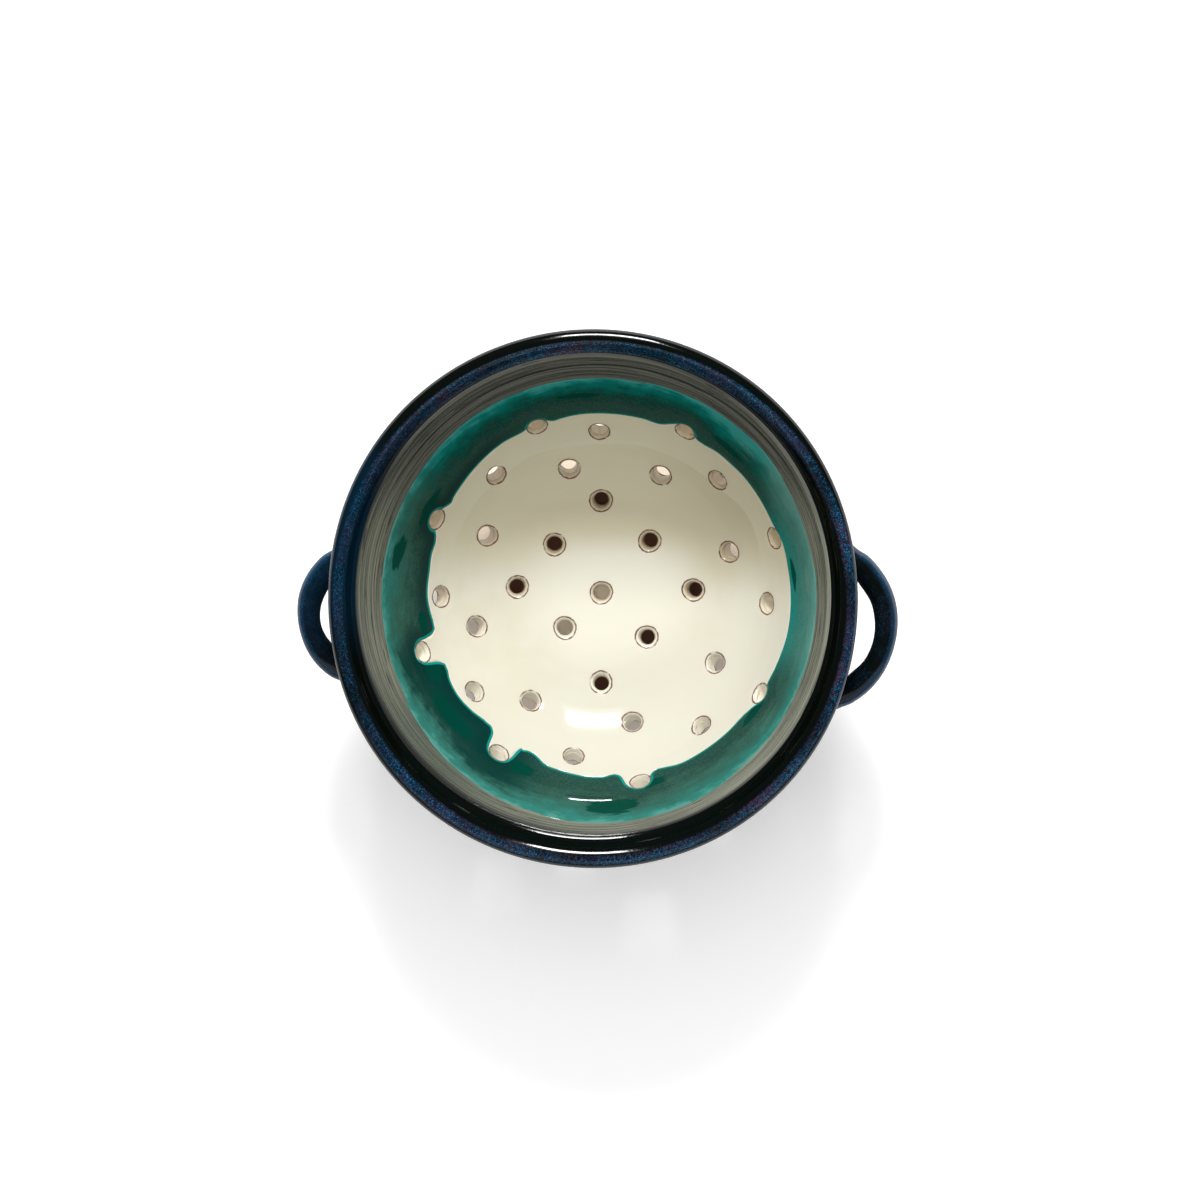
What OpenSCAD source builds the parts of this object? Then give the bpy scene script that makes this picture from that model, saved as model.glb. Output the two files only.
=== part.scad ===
// Berry colander bowl: a thrown stoneware bowl with 33 drain holes, a turned
// foot ring, two pulled loop handles and poured glaze coats.
// Units are millimetres. +Z is up, the origin is on the bowl's axis at the
// plane it stands on, and the handles point along -X and +X.

/* [Overall] */
// Outside diameter of the rolled rim
rim_d = 165; // [150:1:180]
// Height from the resting plane to the top of the rim
bowl_h = 76; // [68:1:86]
// Height of the bare underside of the floor, within the foot ring
foot_h = 9.3; // [7:0.1:14]

/* [Clay and glaze] */
// Thickness of the clay wall and floor
clay_thick = 5.2; // [4:0.1:6.5]
// Thickness of every glaze coat
glaze_thick = 0.5; // [0.3:0.05:0.7]

/* [Inside shape] */
// Radius at which the dished floor turns into the belly
well_r = 28; // [22:1:32]
// Slope of the floor where the belly starts, in degrees
well_slope = 7; // [4:1:10]
// Slope of the wall where the belly ends, in degrees
belly_slope = 55; // [50:1:60]
// Slope of the wall at the shoulder below the rim, in degrees
wall_slope = 76; // [72:1:80]

/* [Rim] */
// Radius of the rolled lip
roll_r = 3; // [2.4:0.1:3.6]
// Length of the straight inside face of the collar under the roll
collar_face = 2.9; // [2:0.1:4]
// Slope of that face, in degrees
collar_slope = 62; // [55:1:70]
// Radius of the cove that the dark glaze pools in
cove_r = 2; // [1.2:0.1:3]
// Radius of the rounded shoulder inside the cove
shoulder_r = 2; // [1.2:0.1:3]
// Slope between cove and shoulder, in degrees
ledge_slope = 15; // [8:1:25]

/* [Foot] */
// Outside diameter of the foot ring
foot_d = 80; // [78:0.5:82]
// Width of the foot ring where it stands
foot_w = 4.6; // [3.6:0.1:5]
// How far the outside of the foot ring leans in, from bowl to table
foot_lean = 0.8; // [0:0.1:1.2]
// Bevel on both edges of the standing face
foot_bevel = 0.8; // [0.4:0.1:1.2]
// Width of bare clay left between the foot ring and the blue glaze
bare_band = 2; // [1:0.5:4]

/* [Handles] */
// How far each handle's loop reaches out past the rim
handle_overhang = 11.5; // [9:0.5:14]
// Thickness of the clay loop of a handle
handle_thick = 6.4; // [5:0.1:7.5]
// Distance from the top of the rim down to the middle of the handles
handle_drop = 16.5; // [15:0.5:20]
// Radius of the left loop, to the middle of the clay
left_bend_r = 20.6; // [18:0.2:23]
// Radius of the right loop, to the middle of the clay
right_bend_r = 25; // [22:0.2:27]
// How far the left loop's centre lies off the X axis
left_offset = -4.8; // [-8:0.2:0]
// How far the right loop's centre lies off the X axis
right_offset = -7.8; // [-10:0.2:0]
// Turn from the outermost point of a loop to where its root begins, in degrees
root_turn = 58; // [50:1:64]
// Thickness of a handle's root where it is pressed on to the wall
root_thick = 10.4; // [8:0.1:11]
// Length of a root, most of which lies within the bowl's outline
root_length = 20; // [18:0.5:24]

/* [Drain holes] */
// Diameter of the holes of the floor
floor_hole_d = 5.2; // [4.4:0.1:6]
// Diameter of the worn, glazed mouth of each floor hole
mouth_d = 7.4; // [6.4:0.1:8]
// Depth of that mouth
mouth_depth = 1.3; // [0.8:0.1:1.8]
// Diameter of the holes of the belly
belly_hole_d = 6.4; // [5.4:0.1:7]
// Radius of the ring of four holes next to the middle hole
ring_2_r = 20.6; // [18:0.2:22]
// Distance from the foot ring in to the centres of the ring of holes inside it
ring_3_gap = 5.2; // [4.8:0.1:6]
// Distance from the foot ring out to the centres of the ring of holes outside it
ring_4_gap = 2.4; // [2:0.1:3.4]
// Place of the lower ring of belly holes, as a share of the way from foot to shoulder
ring_5_share = 0.37; // [0.35:0.01:0.38]
// Place of the upper ring of belly holes, as a share of the way from foot to shoulder
ring_6_share = 0.57; // [0.55:0.01:0.6]

/* [Glaze lines] */
// Place of the edge of the teal glaze, as a share of the way from foot to shoulder
cream_line_share = 0.56; // [0.5:0.01:0.58]
// How far that edge is poured off centre, along +X
cream_line_shift = 2.7; // [0:0.1:3]
// Width of cream left round each hole that the teal glaze flowed past
hole_collar = 1.5; // [1:0.1:2]
// Distance from the top of the rim down to the line between teal and olive glaze
olive_line_drop = 21; // [17:0.5:26]

/* [Hidden] */
$fn = 96;
// One overrun serves every cut
overrun = 2;
// Degrees by which a handle's loop runs on inside its roots, to join them
root_lap = 3;
// How far the roll is rounded over, past its top, before the neck begins
roll_turn = 170;
// Flat steps that stand for each round stretch of the outline
long_steps = 8;
short_steps = 4;

rim_r = rim_d / 2;
foot_r = foot_d / 2;
foot_inner_r = foot_r - foot_w - foot_lean;
// Distance from the glazed inside to the glazed outside
full_wall = clay_thick + 2 * glaze_thick;
floor_z = foot_h + clay_thick + glaze_thick;
handle_z = bowl_h - handle_drop;

// Places of the drain holes: each row holds the hole's angle in degrees
// and its share of the ring's radius, as a hand holding a punch sets them
ring_2_shares = [[47, 1.12], [134, 1.06], [224, 0.8], [316, 1]];
ring_3_shares = [[2, 1.02], [90, 1.02], [176, 0.93], [270, 0.99]];
ring_4_shares = [[18, 1.03], [63, 1.01], [104, 0.98], [153, 0.97],
    [195, 0.98], [237, 0.98], [284, 1.01], [329, 1.02]];
ring_5_shares = [[357, 1.03], [44, 1.01], [90, 1], [131, 0.97],
    [181, 0.98], [218, 0.98], [261, 1.01], [308, 1.02]];
ring_6_shares = [[18, 1], [62, 1], [110, 0.97], [155, 0.97],
    [198, 1], [238, 1.01], [283, 1.03], [329, 1.02]];

// A point of a round stretch, by its slope in degrees. A positive radius
// is hollow towards the inside of the bowl, and a negative one is rounded
function at_slope(centre, radius, slope) = centre + radius * [sin(slope), -cos(slope)];
function stretch(centre, radius, from, to, steps) =
    [for (i = [0:steps]) at_slope(centre, radius, from + (to - from) * i / steps)];
function backwards(points) = [for (i = [len(points) - 1:-1:0]) points[i]];

// Rim, from the roll inwards: roll, collar face, cove and shoulder
roll_at = [rim_r - roll_r, bowl_h - roll_r];
collar_low = at_slope(roll_at, -roll_r, collar_slope) - collar_face * [cos(collar_slope), sin(collar_slope)];
cove_at = at_slope(collar_low, -cove_r, collar_slope);
cove_low = at_slope(cove_at, cove_r, ledge_slope);
shoulder_at = at_slope(cove_low, shoulder_r, ledge_slope);
shoulder_low = at_slope(shoulder_at, -shoulder_r, wall_slope);

// Floor dish, whose rounding follows from its radius and its slope
dish_r = well_r / sin(well_slope);
dish_at = [0, floor_z + dish_r];
well = at_slope(dish_at, dish_r, well_slope);

// Belly and wall: two round stretches that run smoothly from the well to
// the shoulder. Their radii solve the two sums of their runs and rises
belly_run = sin(belly_slope) - sin(well_slope);
belly_rise = cos(well_slope) - cos(belly_slope);
wall_run = sin(wall_slope) - sin(belly_slope);
wall_rise = cos(belly_slope) - cos(wall_slope);
span = shoulder_low - well;
solver = belly_run * wall_rise - wall_run * belly_rise;
belly_r = (span[0] * wall_rise - wall_run * span[1]) / solver;
wall_r = (belly_run * span[1] - belly_rise * span[0]) / solver;
belly_at = at_slope(well, -belly_r, well_slope);
belly_top = at_slope(belly_at, belly_r, belly_slope);
wall_at = at_slope(belly_top, -wall_r, belly_slope);
olive_slope = acos((wall_at[1] - bowl_h + olive_line_drop) / wall_r);

// Stretches of the outline, set back by inset into the clay from the glaze
function floor_points(inset) = concat(
    stretch(dish_at, dish_r + inset, 0, well_slope, short_steps),
    stretch(belly_at, belly_r + inset, well_slope, belly_slope, long_steps));
function teal_points(inset) = stretch(wall_at, wall_r + inset, belly_slope, olive_slope, short_steps);
function olive_points(inset) = concat(
    stretch(wall_at, wall_r + inset, olive_slope, wall_slope, short_steps),
    stretch(shoulder_at, inset - shoulder_r, wall_slope, ledge_slope, short_steps));
function collar_points(inset) = stretch(cove_at, cove_r + inset, ledge_slope, collar_slope, short_steps);
function roll_points(inset) = stretch(roll_at, inset - roll_r, collar_slope, -roll_turn, 2 * long_steps);
function inside_points(inset) = concat(floor_points(inset), teal_points(inset),
    olive_points(inset), collar_points(inset));
function outside_points(inset, end_slope) = concat(
    stretch(wall_at, wall_r + full_wall - inset, wall_slope, belly_slope, long_steps),
    stretch(belly_at, belly_r + full_wall - inset, belly_slope, end_slope, long_steps));
function under_points(inset) = stretch(dish_at, dish_r + full_wall - inset, well_slope, 0, short_steps);
// The blue glaze runs from the cove over the roll and down to its last slope
function blue_points(inset) = concat(collar_points(inset), roll_points(inset),
    outside_points(inset, blue_end_slope));

// Slope and height of the inside at a radius, for what is set into it
function slope_at(r) = r < well[0] ? asin(r / dish_r) : r < belly_top[0] ?
    asin((r - belly_at[0]) / belly_r) : asin((r - wall_at[0]) / wall_r);
function height_at(r) = r < well[0] ? at_slope(dish_at, dish_r, slope_at(r))[1] : r < belly_top[0] ?
    at_slope(belly_at, belly_r, slope_at(r))[1] : at_slope(wall_at, wall_r, slope_at(r))[1];

// Radii of the rings of holes and of the glaze line, tied to foot and shoulder
ring_3_r = foot_inner_r - ring_3_gap;
ring_4_r = foot_r + ring_4_gap;
ring_5_r = foot_r + ring_5_share * (shoulder_low[0] - foot_r);
ring_6_r = foot_r + ring_6_share * (shoulder_low[0] - foot_r);
cream_line_r = foot_r + cream_line_share * (shoulder_low[0] - foot_r);

// The slope at which the blue glaze stops, a bare band out from the foot
blue_end_slope = asin((foot_r + bare_band - belly_at[0]) / (belly_r + clay_thick + glaze_thick));

// The bowl filled to its axis, bare or glazed, for what is seated on it
module filled_bowl(inset) {
    rotate_extrude() polygon(concat(
        [[0, roll_at[1]], roll_at],
        stretch(roll_at, inset - roll_r, 0, -roll_turn, long_steps),
        outside_points(inset, well_slope),
        under_points(inset)));
}

// One drain hole, square to the wall, through the clay and both coats
module drain_hole(ring_r, place, hole_d, mouth) {
    r = ring_r * place[1];
    rotate([0, 0, place[0]])
        translate([r, 0, height_at(r)])
            rotate([0, -slope_at(r), 0]) {
                translate([0, 0, -full_wall - overrun])
                    cylinder(h = full_wall + 2 * overrun, d = hole_d);
                if (mouth)
                    translate([0, 0, -mouth_depth])
                        cylinder(h = 2 * mouth_depth, d1 = hole_d, d2 = 2 * mouth_d - hole_d);
            }
}

module floor_holes() {
    drain_hole(0, [0, 0], floor_hole_d, true);
    for (place = ring_2_shares) drain_hole(ring_2_r, place, floor_hole_d, true);
    for (place = ring_3_shares) drain_hole(ring_3_r, place, floor_hole_d, true);
    for (place = ring_4_shares) drain_hole(ring_4_r, place, floor_hole_d, true);
}

module belly_holes() {
    for (place = ring_5_shares) drain_hole(ring_5_r, place, belly_hole_d, false);
    for (place = ring_6_shares) drain_hole(ring_6_r, place, belly_hole_d, false);
}

// The space that the cream liner fills: the poured edge, and a collar of
// cream round each hole that the teal glaze flowed past
module cream_space() {
    translate([cream_line_shift, 0, 0])
        cylinder(h = bowl_h, r = cream_line_r);
    for (place = ring_6_shares)
        rotate([0, 0, place[0]])
            translate([ring_6_r * place[1], 0, 0])
                cylinder(h = bowl_h, r = belly_hole_d / 2 + hole_collar);
}

// A handle loop with the given thickness beyond its clay. Its outermost
// point lies on +X, and its two roots spread towards the wall
module loop_form(bend_r, offset_y, extra) {
    tube_r = handle_thick / 2 + extra;
    centre = [rim_r + handle_overhang - bend_r - handle_thick / 2 - glaze_thick, offset_y];
    facing = atan2(centre[1], centre[0]);
    translate([centre[0], centre[1], handle_z])
        rotate([0, 0, facing]) {
            rotate([0, 0, -root_turn - root_lap])
                rotate_extrude(angle = 2 * (root_turn + root_lap))
                    translate([bend_r, 0])
                        circle(r = tube_r);
            for (side = [-1, 1])
                rotate([0, 0, side * root_turn])
                    translate([bend_r, 0, 0])
                        rotate([-side * 90, 0, 0])
                            cylinder(h = root_length, r1 = tube_r, r2 = root_thick / 2 + extra);
        }
}

module handle_clay(bend_r, offset_y) {
    difference() {
        loop_form(bend_r, offset_y, 0);
        filled_bowl(glaze_thick);
    }
}

module handle_coat(bend_r, offset_y) {
    difference() {
        loop_form(bend_r, offset_y, glaze_thick);
        loop_form(bend_r, offset_y, 0);
        filled_bowl(0);
    }
}

module clay_bowl() {
    color("peru") difference() {
        rotate_extrude() polygon(concat(
            inside_points(glaze_thick),
            roll_points(glaze_thick),
            outside_points(glaze_thick, well_slope),
            under_points(glaze_thick)));
        floor_holes();
        belly_holes();
    }
}

module foot_ring() {
    color("sienna") difference() {
        rotate_extrude() polygon([
            [foot_inner_r + foot_bevel, 0],
            [foot_r - foot_lean - foot_bevel, 0],
            [foot_r - foot_lean, foot_bevel],
            [foot_r, floor_z],
            [foot_inner_r, floor_z],
            [foot_inner_r, foot_bevel]]);
        filled_bowl(glaze_thick);
    }
}

module left_handle() {
    color("saddlebrown") mirror([1, 0, 0]) handle_clay(left_bend_r, left_offset);
}

module right_handle() {
    color("saddlebrown") handle_clay(right_bend_r, right_offset);
}

// The coat of the floor and the lower wall, before cream and teal part
module lower_coat() {
    rotate_extrude() polygon(concat(
        floor_points(0), teal_points(0),
        backwards(teal_points(glaze_thick)), backwards(floor_points(glaze_thick))));
}

module cream_glaze() {
    color("ivory") difference() {
        intersection() {
            lower_coat();
            cream_space();
        }
        floor_holes();
        belly_holes();
    }
}

module teal_glaze() {
    color("teal") difference() {
        lower_coat();
        cream_space();
    }
}

module olive_glaze() {
    color("darkolivegreen") rotate_extrude() polygon(concat(
        olive_points(0), backwards(olive_points(glaze_thick))));
}

module blue_glaze() {
    color("midnightblue") difference() {
        rotate_extrude() polygon(concat(blue_points(0), backwards(blue_points(glaze_thick))));
        floor_holes();
        belly_holes();
        loop_form(right_bend_r, right_offset, 0);
        mirror([1, 0, 0]) loop_form(left_bend_r, left_offset, 0);
    }
}

module left_handle_glaze() {
    color("darkslateblue") mirror([1, 0, 0]) handle_coat(left_bend_r, left_offset);
}

module right_handle_glaze() {
    color("darkslateblue") handle_coat(right_bend_r, right_offset);
}

clay_bowl();
foot_ring();
left_handle();
right_handle();
cream_glaze();
teal_glaze();
olive_glaze();
blue_glaze();
left_handle_glaze();
right_handle_glaze();
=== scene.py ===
"""The finished look of a thrown stoneware berry colander bowl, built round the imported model.

Lengths inside the classes are millimetres, as in the part's own source, and become metres
when a mesh is made. The unrolled plane is the bowl's wall laid flat: a point's distance from
the middle is its distance along the wall from the axis.
"""
import logging
import math
from dataclasses import dataclass, field
from enum import Enum
from functools import cache, cached_property
from typing import Optional, Sequence, Union

import bmesh
import bpy
import numpy as np
from mathutils import Matrix, Vector
from mathutils.geometry import delaunay_2d_cdt


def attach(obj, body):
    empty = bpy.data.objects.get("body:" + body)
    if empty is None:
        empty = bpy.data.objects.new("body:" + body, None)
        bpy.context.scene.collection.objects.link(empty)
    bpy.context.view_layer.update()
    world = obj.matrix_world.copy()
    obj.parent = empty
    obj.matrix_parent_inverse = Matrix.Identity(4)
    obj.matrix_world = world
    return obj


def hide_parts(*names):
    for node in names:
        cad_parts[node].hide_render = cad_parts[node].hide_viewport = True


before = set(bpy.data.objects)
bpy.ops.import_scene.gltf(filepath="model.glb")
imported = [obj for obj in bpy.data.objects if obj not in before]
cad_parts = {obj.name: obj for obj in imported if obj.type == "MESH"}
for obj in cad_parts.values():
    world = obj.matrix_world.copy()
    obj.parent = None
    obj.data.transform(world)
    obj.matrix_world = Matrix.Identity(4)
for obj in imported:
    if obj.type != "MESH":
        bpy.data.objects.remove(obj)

log = logging.getLogger("berry_bowl")

Colour = tuple[float, float, float]
Span = tuple[float, float]

MM = 0.001
BODY = "root"
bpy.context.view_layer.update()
# Divisions of a full turn, shared by every piece that is joined to another
TURN_STEPS = 288
# Points round one drain hole
HOLE_STEPS = 36
UP = np.array([0.0, 0.0, 1.0])


def smoothstep(value: np.ndarray, low: float, high: float) -> np.ndarray:
    """Rises smoothly from 0 at low to 1 at high."""
    share = np.clip((value - low) / (high - low), 0.0, 1.0)
    return share * share * (3.0 - 2.0 * share)


def degrees_from(turn: np.ndarray, middle: float) -> np.ndarray:
    """How far each turn lies from a middle, in degrees and the short way round."""
    return (turn - middle + 180.0) % 360.0 - 180.0


def full_turn(count: int) -> np.ndarray:
    """Evenly spread angles of a full turn, in radians."""
    return np.arange(count) * 2.0 * math.pi / count


def unit(turn: float) -> np.ndarray:
    """Direction in the plan, for an angle in radians."""
    return np.array([math.cos(turn), math.sin(turn)])


# Outline of the bowl
@dataclass(frozen=True)
class Arc:
    """One round stretch of the inside outline, by its slope in radians."""

    centre: Span
    radius: float
    start: float
    end: float

    @property
    def length(self) -> float:
        """Length along the glazed surface."""
        return self.radius * (self.end - self.start)


@dataclass(frozen=True)
class BowlOutline:
    """The turned outline of the bowl, from the same named sizes as the part's source."""

    rim_d: float = 165.0
    bowl_h: float = 76.0
    foot_h: float = 9.3
    clay: float = 5.2
    glaze: float = 0.5
    well_r: float = 28.0
    well_slope: float = 7.0
    belly_slope: float = 55.0
    wall_slope: float = 76.0
    roll_r: float = 3.0
    collar_face: float = 2.9
    collar_slope: float = 62.0
    cove_r: float = 2.0
    shoulder_r: float = 2.0
    ledge_slope: float = 15.0
    roll_turn: float = 170.0
    # Points nearer than this to each other are one
    touching: float = 0.001

    @staticmethod
    def at_slope(centre: Span, radius: float, slope: float) -> Span:
        """Point of a circle where a surface has the given slope, in degrees."""
        turn = math.radians(slope)
        return centre[0] + radius * math.sin(turn), centre[1] - radius * math.cos(turn)

    @property
    def full_wall(self) -> float:
        """Distance from the glazed inside to the glazed outside."""
        return self.clay + 2.0 * self.glaze

    @property
    def floor_z(self) -> float:
        """Height of the glazed floor at the axis."""
        return self.foot_h + self.clay + self.glaze

    @cached_property
    def rim_points(self) -> dict[str, Span]:
        """Centres of the roll, cove and shoulder, and the lower end of the shoulder."""
        roll = (self.rim_d / 2.0 - self.roll_r, self.bowl_h - self.roll_r)
        face_top = self.at_slope(roll, -self.roll_r, self.collar_slope)
        face_turn = math.radians(self.collar_slope)
        face_low = (face_top[0] - self.collar_face * math.cos(face_turn),
                    face_top[1] - self.collar_face * math.sin(face_turn))
        cove = self.at_slope(face_low, -self.cove_r, self.collar_slope)
        cove_low = self.at_slope(cove, self.cove_r, self.ledge_slope)
        shoulder = self.at_slope(cove_low, self.shoulder_r, self.ledge_slope)
        low = self.at_slope(shoulder, -self.shoulder_r, self.wall_slope)
        return {"roll": roll, "cove": cove, "shoulder": shoulder, "shoulder_low": low}

    @cached_property
    def arcs(self) -> tuple[Arc, Arc, Arc]:
        """Dish, belly and wall, which run smoothly from the axis to the shoulder."""
        well, belly, wall = (
            math.radians(slope) for slope in (self.well_slope, self.belly_slope, self.wall_slope))
        dish_r = self.well_r / math.sin(well)
        dish_at = (0.0, self.floor_z + dish_r)
        well_end = self.at_slope(dish_at, dish_r, self.well_slope)
        low = self.rim_points["shoulder_low"]
        belly_run, belly_rise = math.sin(belly) - math.sin(well), math.cos(well) - math.cos(belly)
        wall_run, wall_rise = math.sin(wall) - math.sin(belly), math.cos(belly) - math.cos(wall)
        # The radii of belly and wall that bring the outline from the dish to the shoulder
        run, rise = low[0] - well_end[0], low[1] - well_end[1]
        solver = belly_run * wall_rise - wall_run * belly_rise
        belly_r = (run * wall_rise - wall_run * rise) / solver
        wall_r = (belly_run * rise - belly_rise * run) / solver
        belly_at = self.at_slope(well_end, -belly_r, self.well_slope)
        belly_top = self.at_slope(belly_at, belly_r, self.belly_slope)
        wall_at = self.at_slope(belly_top, -wall_r, self.belly_slope)
        return (Arc(dish_at, dish_r, 0.0, well), Arc(belly_at, belly_r, well, belly),
                Arc(wall_at, wall_r, belly, wall))

    @cached_property
    def ends(self) -> tuple[float, float, float]:
        """Stations at which dish, belly and wall end."""
        dish, belly, wall = self.arcs
        return dish.length, dish.length + belly.length, dish.length + belly.length + wall.length

    def inside(self, station: np.ndarray, depth: np.ndarray) -> tuple[np.ndarray, np.ndarray]:
        """Places points of the wall.

        Args:
            station: Distance along the glazed inside from the axis.
            depth: Distance into the wall from the glazed inside.

        Returns:
            Radius and height of each point.
        """
        first, second, _ = self.ends
        dish, belly, wall = self.arcs
        radius, height = np.empty_like(station), np.empty_like(station)
        for arc, start, chosen in (
                (dish, 0.0, station <= first),
                (belly, first, (station > first) & (station <= second)),
                (wall, second, station > second)):
            slope = arc.start + (station[chosen] - start) / arc.radius
            reach = arc.radius + np.broadcast_to(depth, station.shape)[chosen]
            radius[chosen] = arc.centre[0] + reach * np.sin(slope)
            height[chosen] = arc.centre[1] - reach * np.cos(slope)
        return radius, height

    def arc_at(self, station: float) -> tuple[Arc, float]:
        """Finds the arc that holds a station.

        Args:
            station: Distance along the glazed inside from the axis.

        Returns:
            The arc, and the slope there in radians.
        """
        start = 0.0
        for arc, end in zip(self.arcs, self.ends):
            if station <= end or arc is self.arcs[-1]:
                return arc, arc.start + (station - start) / arc.radius
            start = end
        raise ValueError(station)

    def station(self, radius: np.ndarray) -> np.ndarray:
        """Finds places of the glazed inside.

        Args:
            radius: Distances from the axis.

        Returns:
            The station at each of them.
        """
        grid = np.linspace(0.0, self.ends[-1] + 2.0, 4000)
        reach, _ = self.inside(grid, np.zeros_like(grid))
        return np.interp(radius, reach, grid)

    def outside_radius(self, height: np.ndarray, depth: float) -> np.ndarray:
        """Radius of a layer in the wall.

        Args:
            height: Heights at which it is asked for.
            depth: Depth of the layer; the wall's outer side has that of the full wall.

        Returns:
            The radius at each height.
        """
        grid = np.linspace(self.ends[0], self.ends[-1], 2000)
        reach, level = self.inside(grid, np.full_like(grid, depth))
        return np.interp(height, level, reach)

    def rim_line(self, inset: float, start: str, finish: str, step: float) -> np.ndarray:
        """Points of the rim from the inside wall over the roll to the outside wall.

        Args:
            inset: Distance into the clay from the glazed surface.
            start: Stretch to start with: shoulder, cove or roll.
            finish: Stretch to end with.
            step: Longest distance between points.

        Returns:
            An array of radius and height, one row for each point.
        """
        at = self.rim_points
        stretches = {
            "shoulder": (at["shoulder"], inset - self.shoulder_r,
                         self.wall_slope, self.ledge_slope),
            "cove": (at["cove"], self.cove_r + inset, self.ledge_slope, self.collar_slope),
            "roll": (at["roll"], inset - self.roll_r, self.collar_slope, -self.roll_turn),
        }
        names = list(stretches)
        rows: list[Span] = []
        for name in names[names.index(start):names.index(finish) + 1]:
            centre, radius, first, last = stretches[name]
            arc_length = abs(radius) * math.radians(abs(last - first))
            count = max(4, math.ceil(arc_length / step))
            arc = [self.at_slope(centre, radius, first + (last - first) * i / count)
                   for i in range(count + 1)]
            if rows:
                (r0, z0), (r1, z1) = rows[-1], arc[0]
                gap = math.dist(rows[-1], arc[0])
                fill = max(1, math.ceil(gap / step))
                rows += [(r0 + (r1 - r0) * i / fill, z0 + (z1 - z0) * i / fill)
                         for i in range(1, fill)]
                if gap < self.touching:
                    arc = arc[1:]
            rows += arc
        return np.array(rows)


OUTLINE = BowlOutline()


def wall_point(station: float, depth: float) -> np.ndarray:
    """Radius and height of one point in the wall, as an array of one row."""
    return np.stack(OUTLINE.inside(np.array([station]), np.array([depth])), axis=1)


# Drain holes
@dataclass(frozen=True)
class HoleShape:
    """Radius of a punched hole under its lip, and width and depth of the lip, on both sides."""

    radius: float
    lip: float
    lip_depth: float
    far_radius: float
    far_lip: float = 0.4
    far_lip_depth: float = 0.35

    def at(self, depth: float) -> tuple[float, float, float]:
        """Radius, lip width and lip depth on the side that a depth is nearer to."""
        if depth < OUTLINE.full_wall / 2.0:
            return self.radius, self.lip, self.lip_depth
        return self.far_radius, self.far_lip, self.far_lip_depth


class HoleKind(Enum):
    """Drain holes by where they are: deep funnels in the floor, plain holes in the belly."""

    FLOOR = HoleShape(2.62, 1.2, 1.15, 2.55)
    FLANK = HoleShape(2.85, 0.75, 0.7, 2.75)
    BELLY = HoleShape(3.0, 0.5, 0.42, 2.95)


@dataclass(frozen=True)
class DrainHole:
    """One hole punched square to the wall, seen in the unrolled plane."""

    kind: HoleKind
    radius_from_axis: float
    turn: float
    number: int

    @property
    def off_axis(self) -> bool:
        """Whether this is another hole than the one in the middle of the floor."""
        return self.radius_from_axis > 1.0

    @cached_property
    def station(self) -> float:
        """Distance of the middle from the axis, along the wall."""
        return float(OUTLINE.station(np.array([self.radius_from_axis]))[0])

    @cached_property
    def middle(self) -> np.ndarray:
        """Middle of the hole in the unrolled plane."""
        return self.station * self.along

    @cached_property
    def along(self) -> np.ndarray:
        """Direction away from the axis."""
        return unit(math.radians(self.turn))

    @cached_property
    def across(self) -> np.ndarray:
        """Direction round the axis."""
        return np.array([-self.along[1], self.along[0]])

    def stretch(self, depth: float) -> tuple[float, float]:
        """Compares the wall with the unrolled plane.

        Args:
            depth: Depth in the wall.

        Returns:
            How many times longer the wall is there, away from the axis and round it.
        """
        arc, slope = OUTLINE.arc_at(self.station)
        along = 1.0 + depth / arc.radius
        if not self.off_axis:
            return along, along
        across = (self.radius_from_axis + depth * math.sin(slope)) / self.station
        return along, across

    def unevenness(self, turn: np.ndarray) -> np.ndarray:
        """Share by which the hand-held punch made the hole wider or narrower."""
        phase = 1.7 * self.number
        return 1.0 + 0.022 * np.sin(2.0 * turn + phase) + 0.014 * np.sin(3.0 * turn + 2.3 * phase)

    def gap(self, plane: np.ndarray, depth: float) -> np.ndarray:
        """Distance of points from the hole's edge.

        Args:
            plane: Points in the unrolled plane.
            depth: Depth in the wall at which the distance is true.

        Returns:
            One distance for each point, less than 0 inside the hole.
        """
        offset = plane - self.middle
        along, across = self.stretch(depth)
        a, b = offset @ self.along * along, offset @ self.across * across
        return np.hypot(a, b) / self.unevenness(np.arctan2(b, a)) - self.kind.value.at(depth)[0]

    def ring(self, radius: float, depth: float) -> np.ndarray:
        """A ring round the hole, in the unrolled plane.

        Args:
            radius: True radius of the ring.
            depth: Depth in the wall at which the ring has that radius.

        Returns:
            One row for each of its points.
        """
        turn = full_turn(HOLE_STEPS)
        along, across = self.stretch(depth)
        reach = radius * self.unevenness(turn)
        return (self.middle + np.outer(reach * np.cos(turn) / along, self.along)
                + np.outer(reach * np.sin(turn) / across, self.across))


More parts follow.
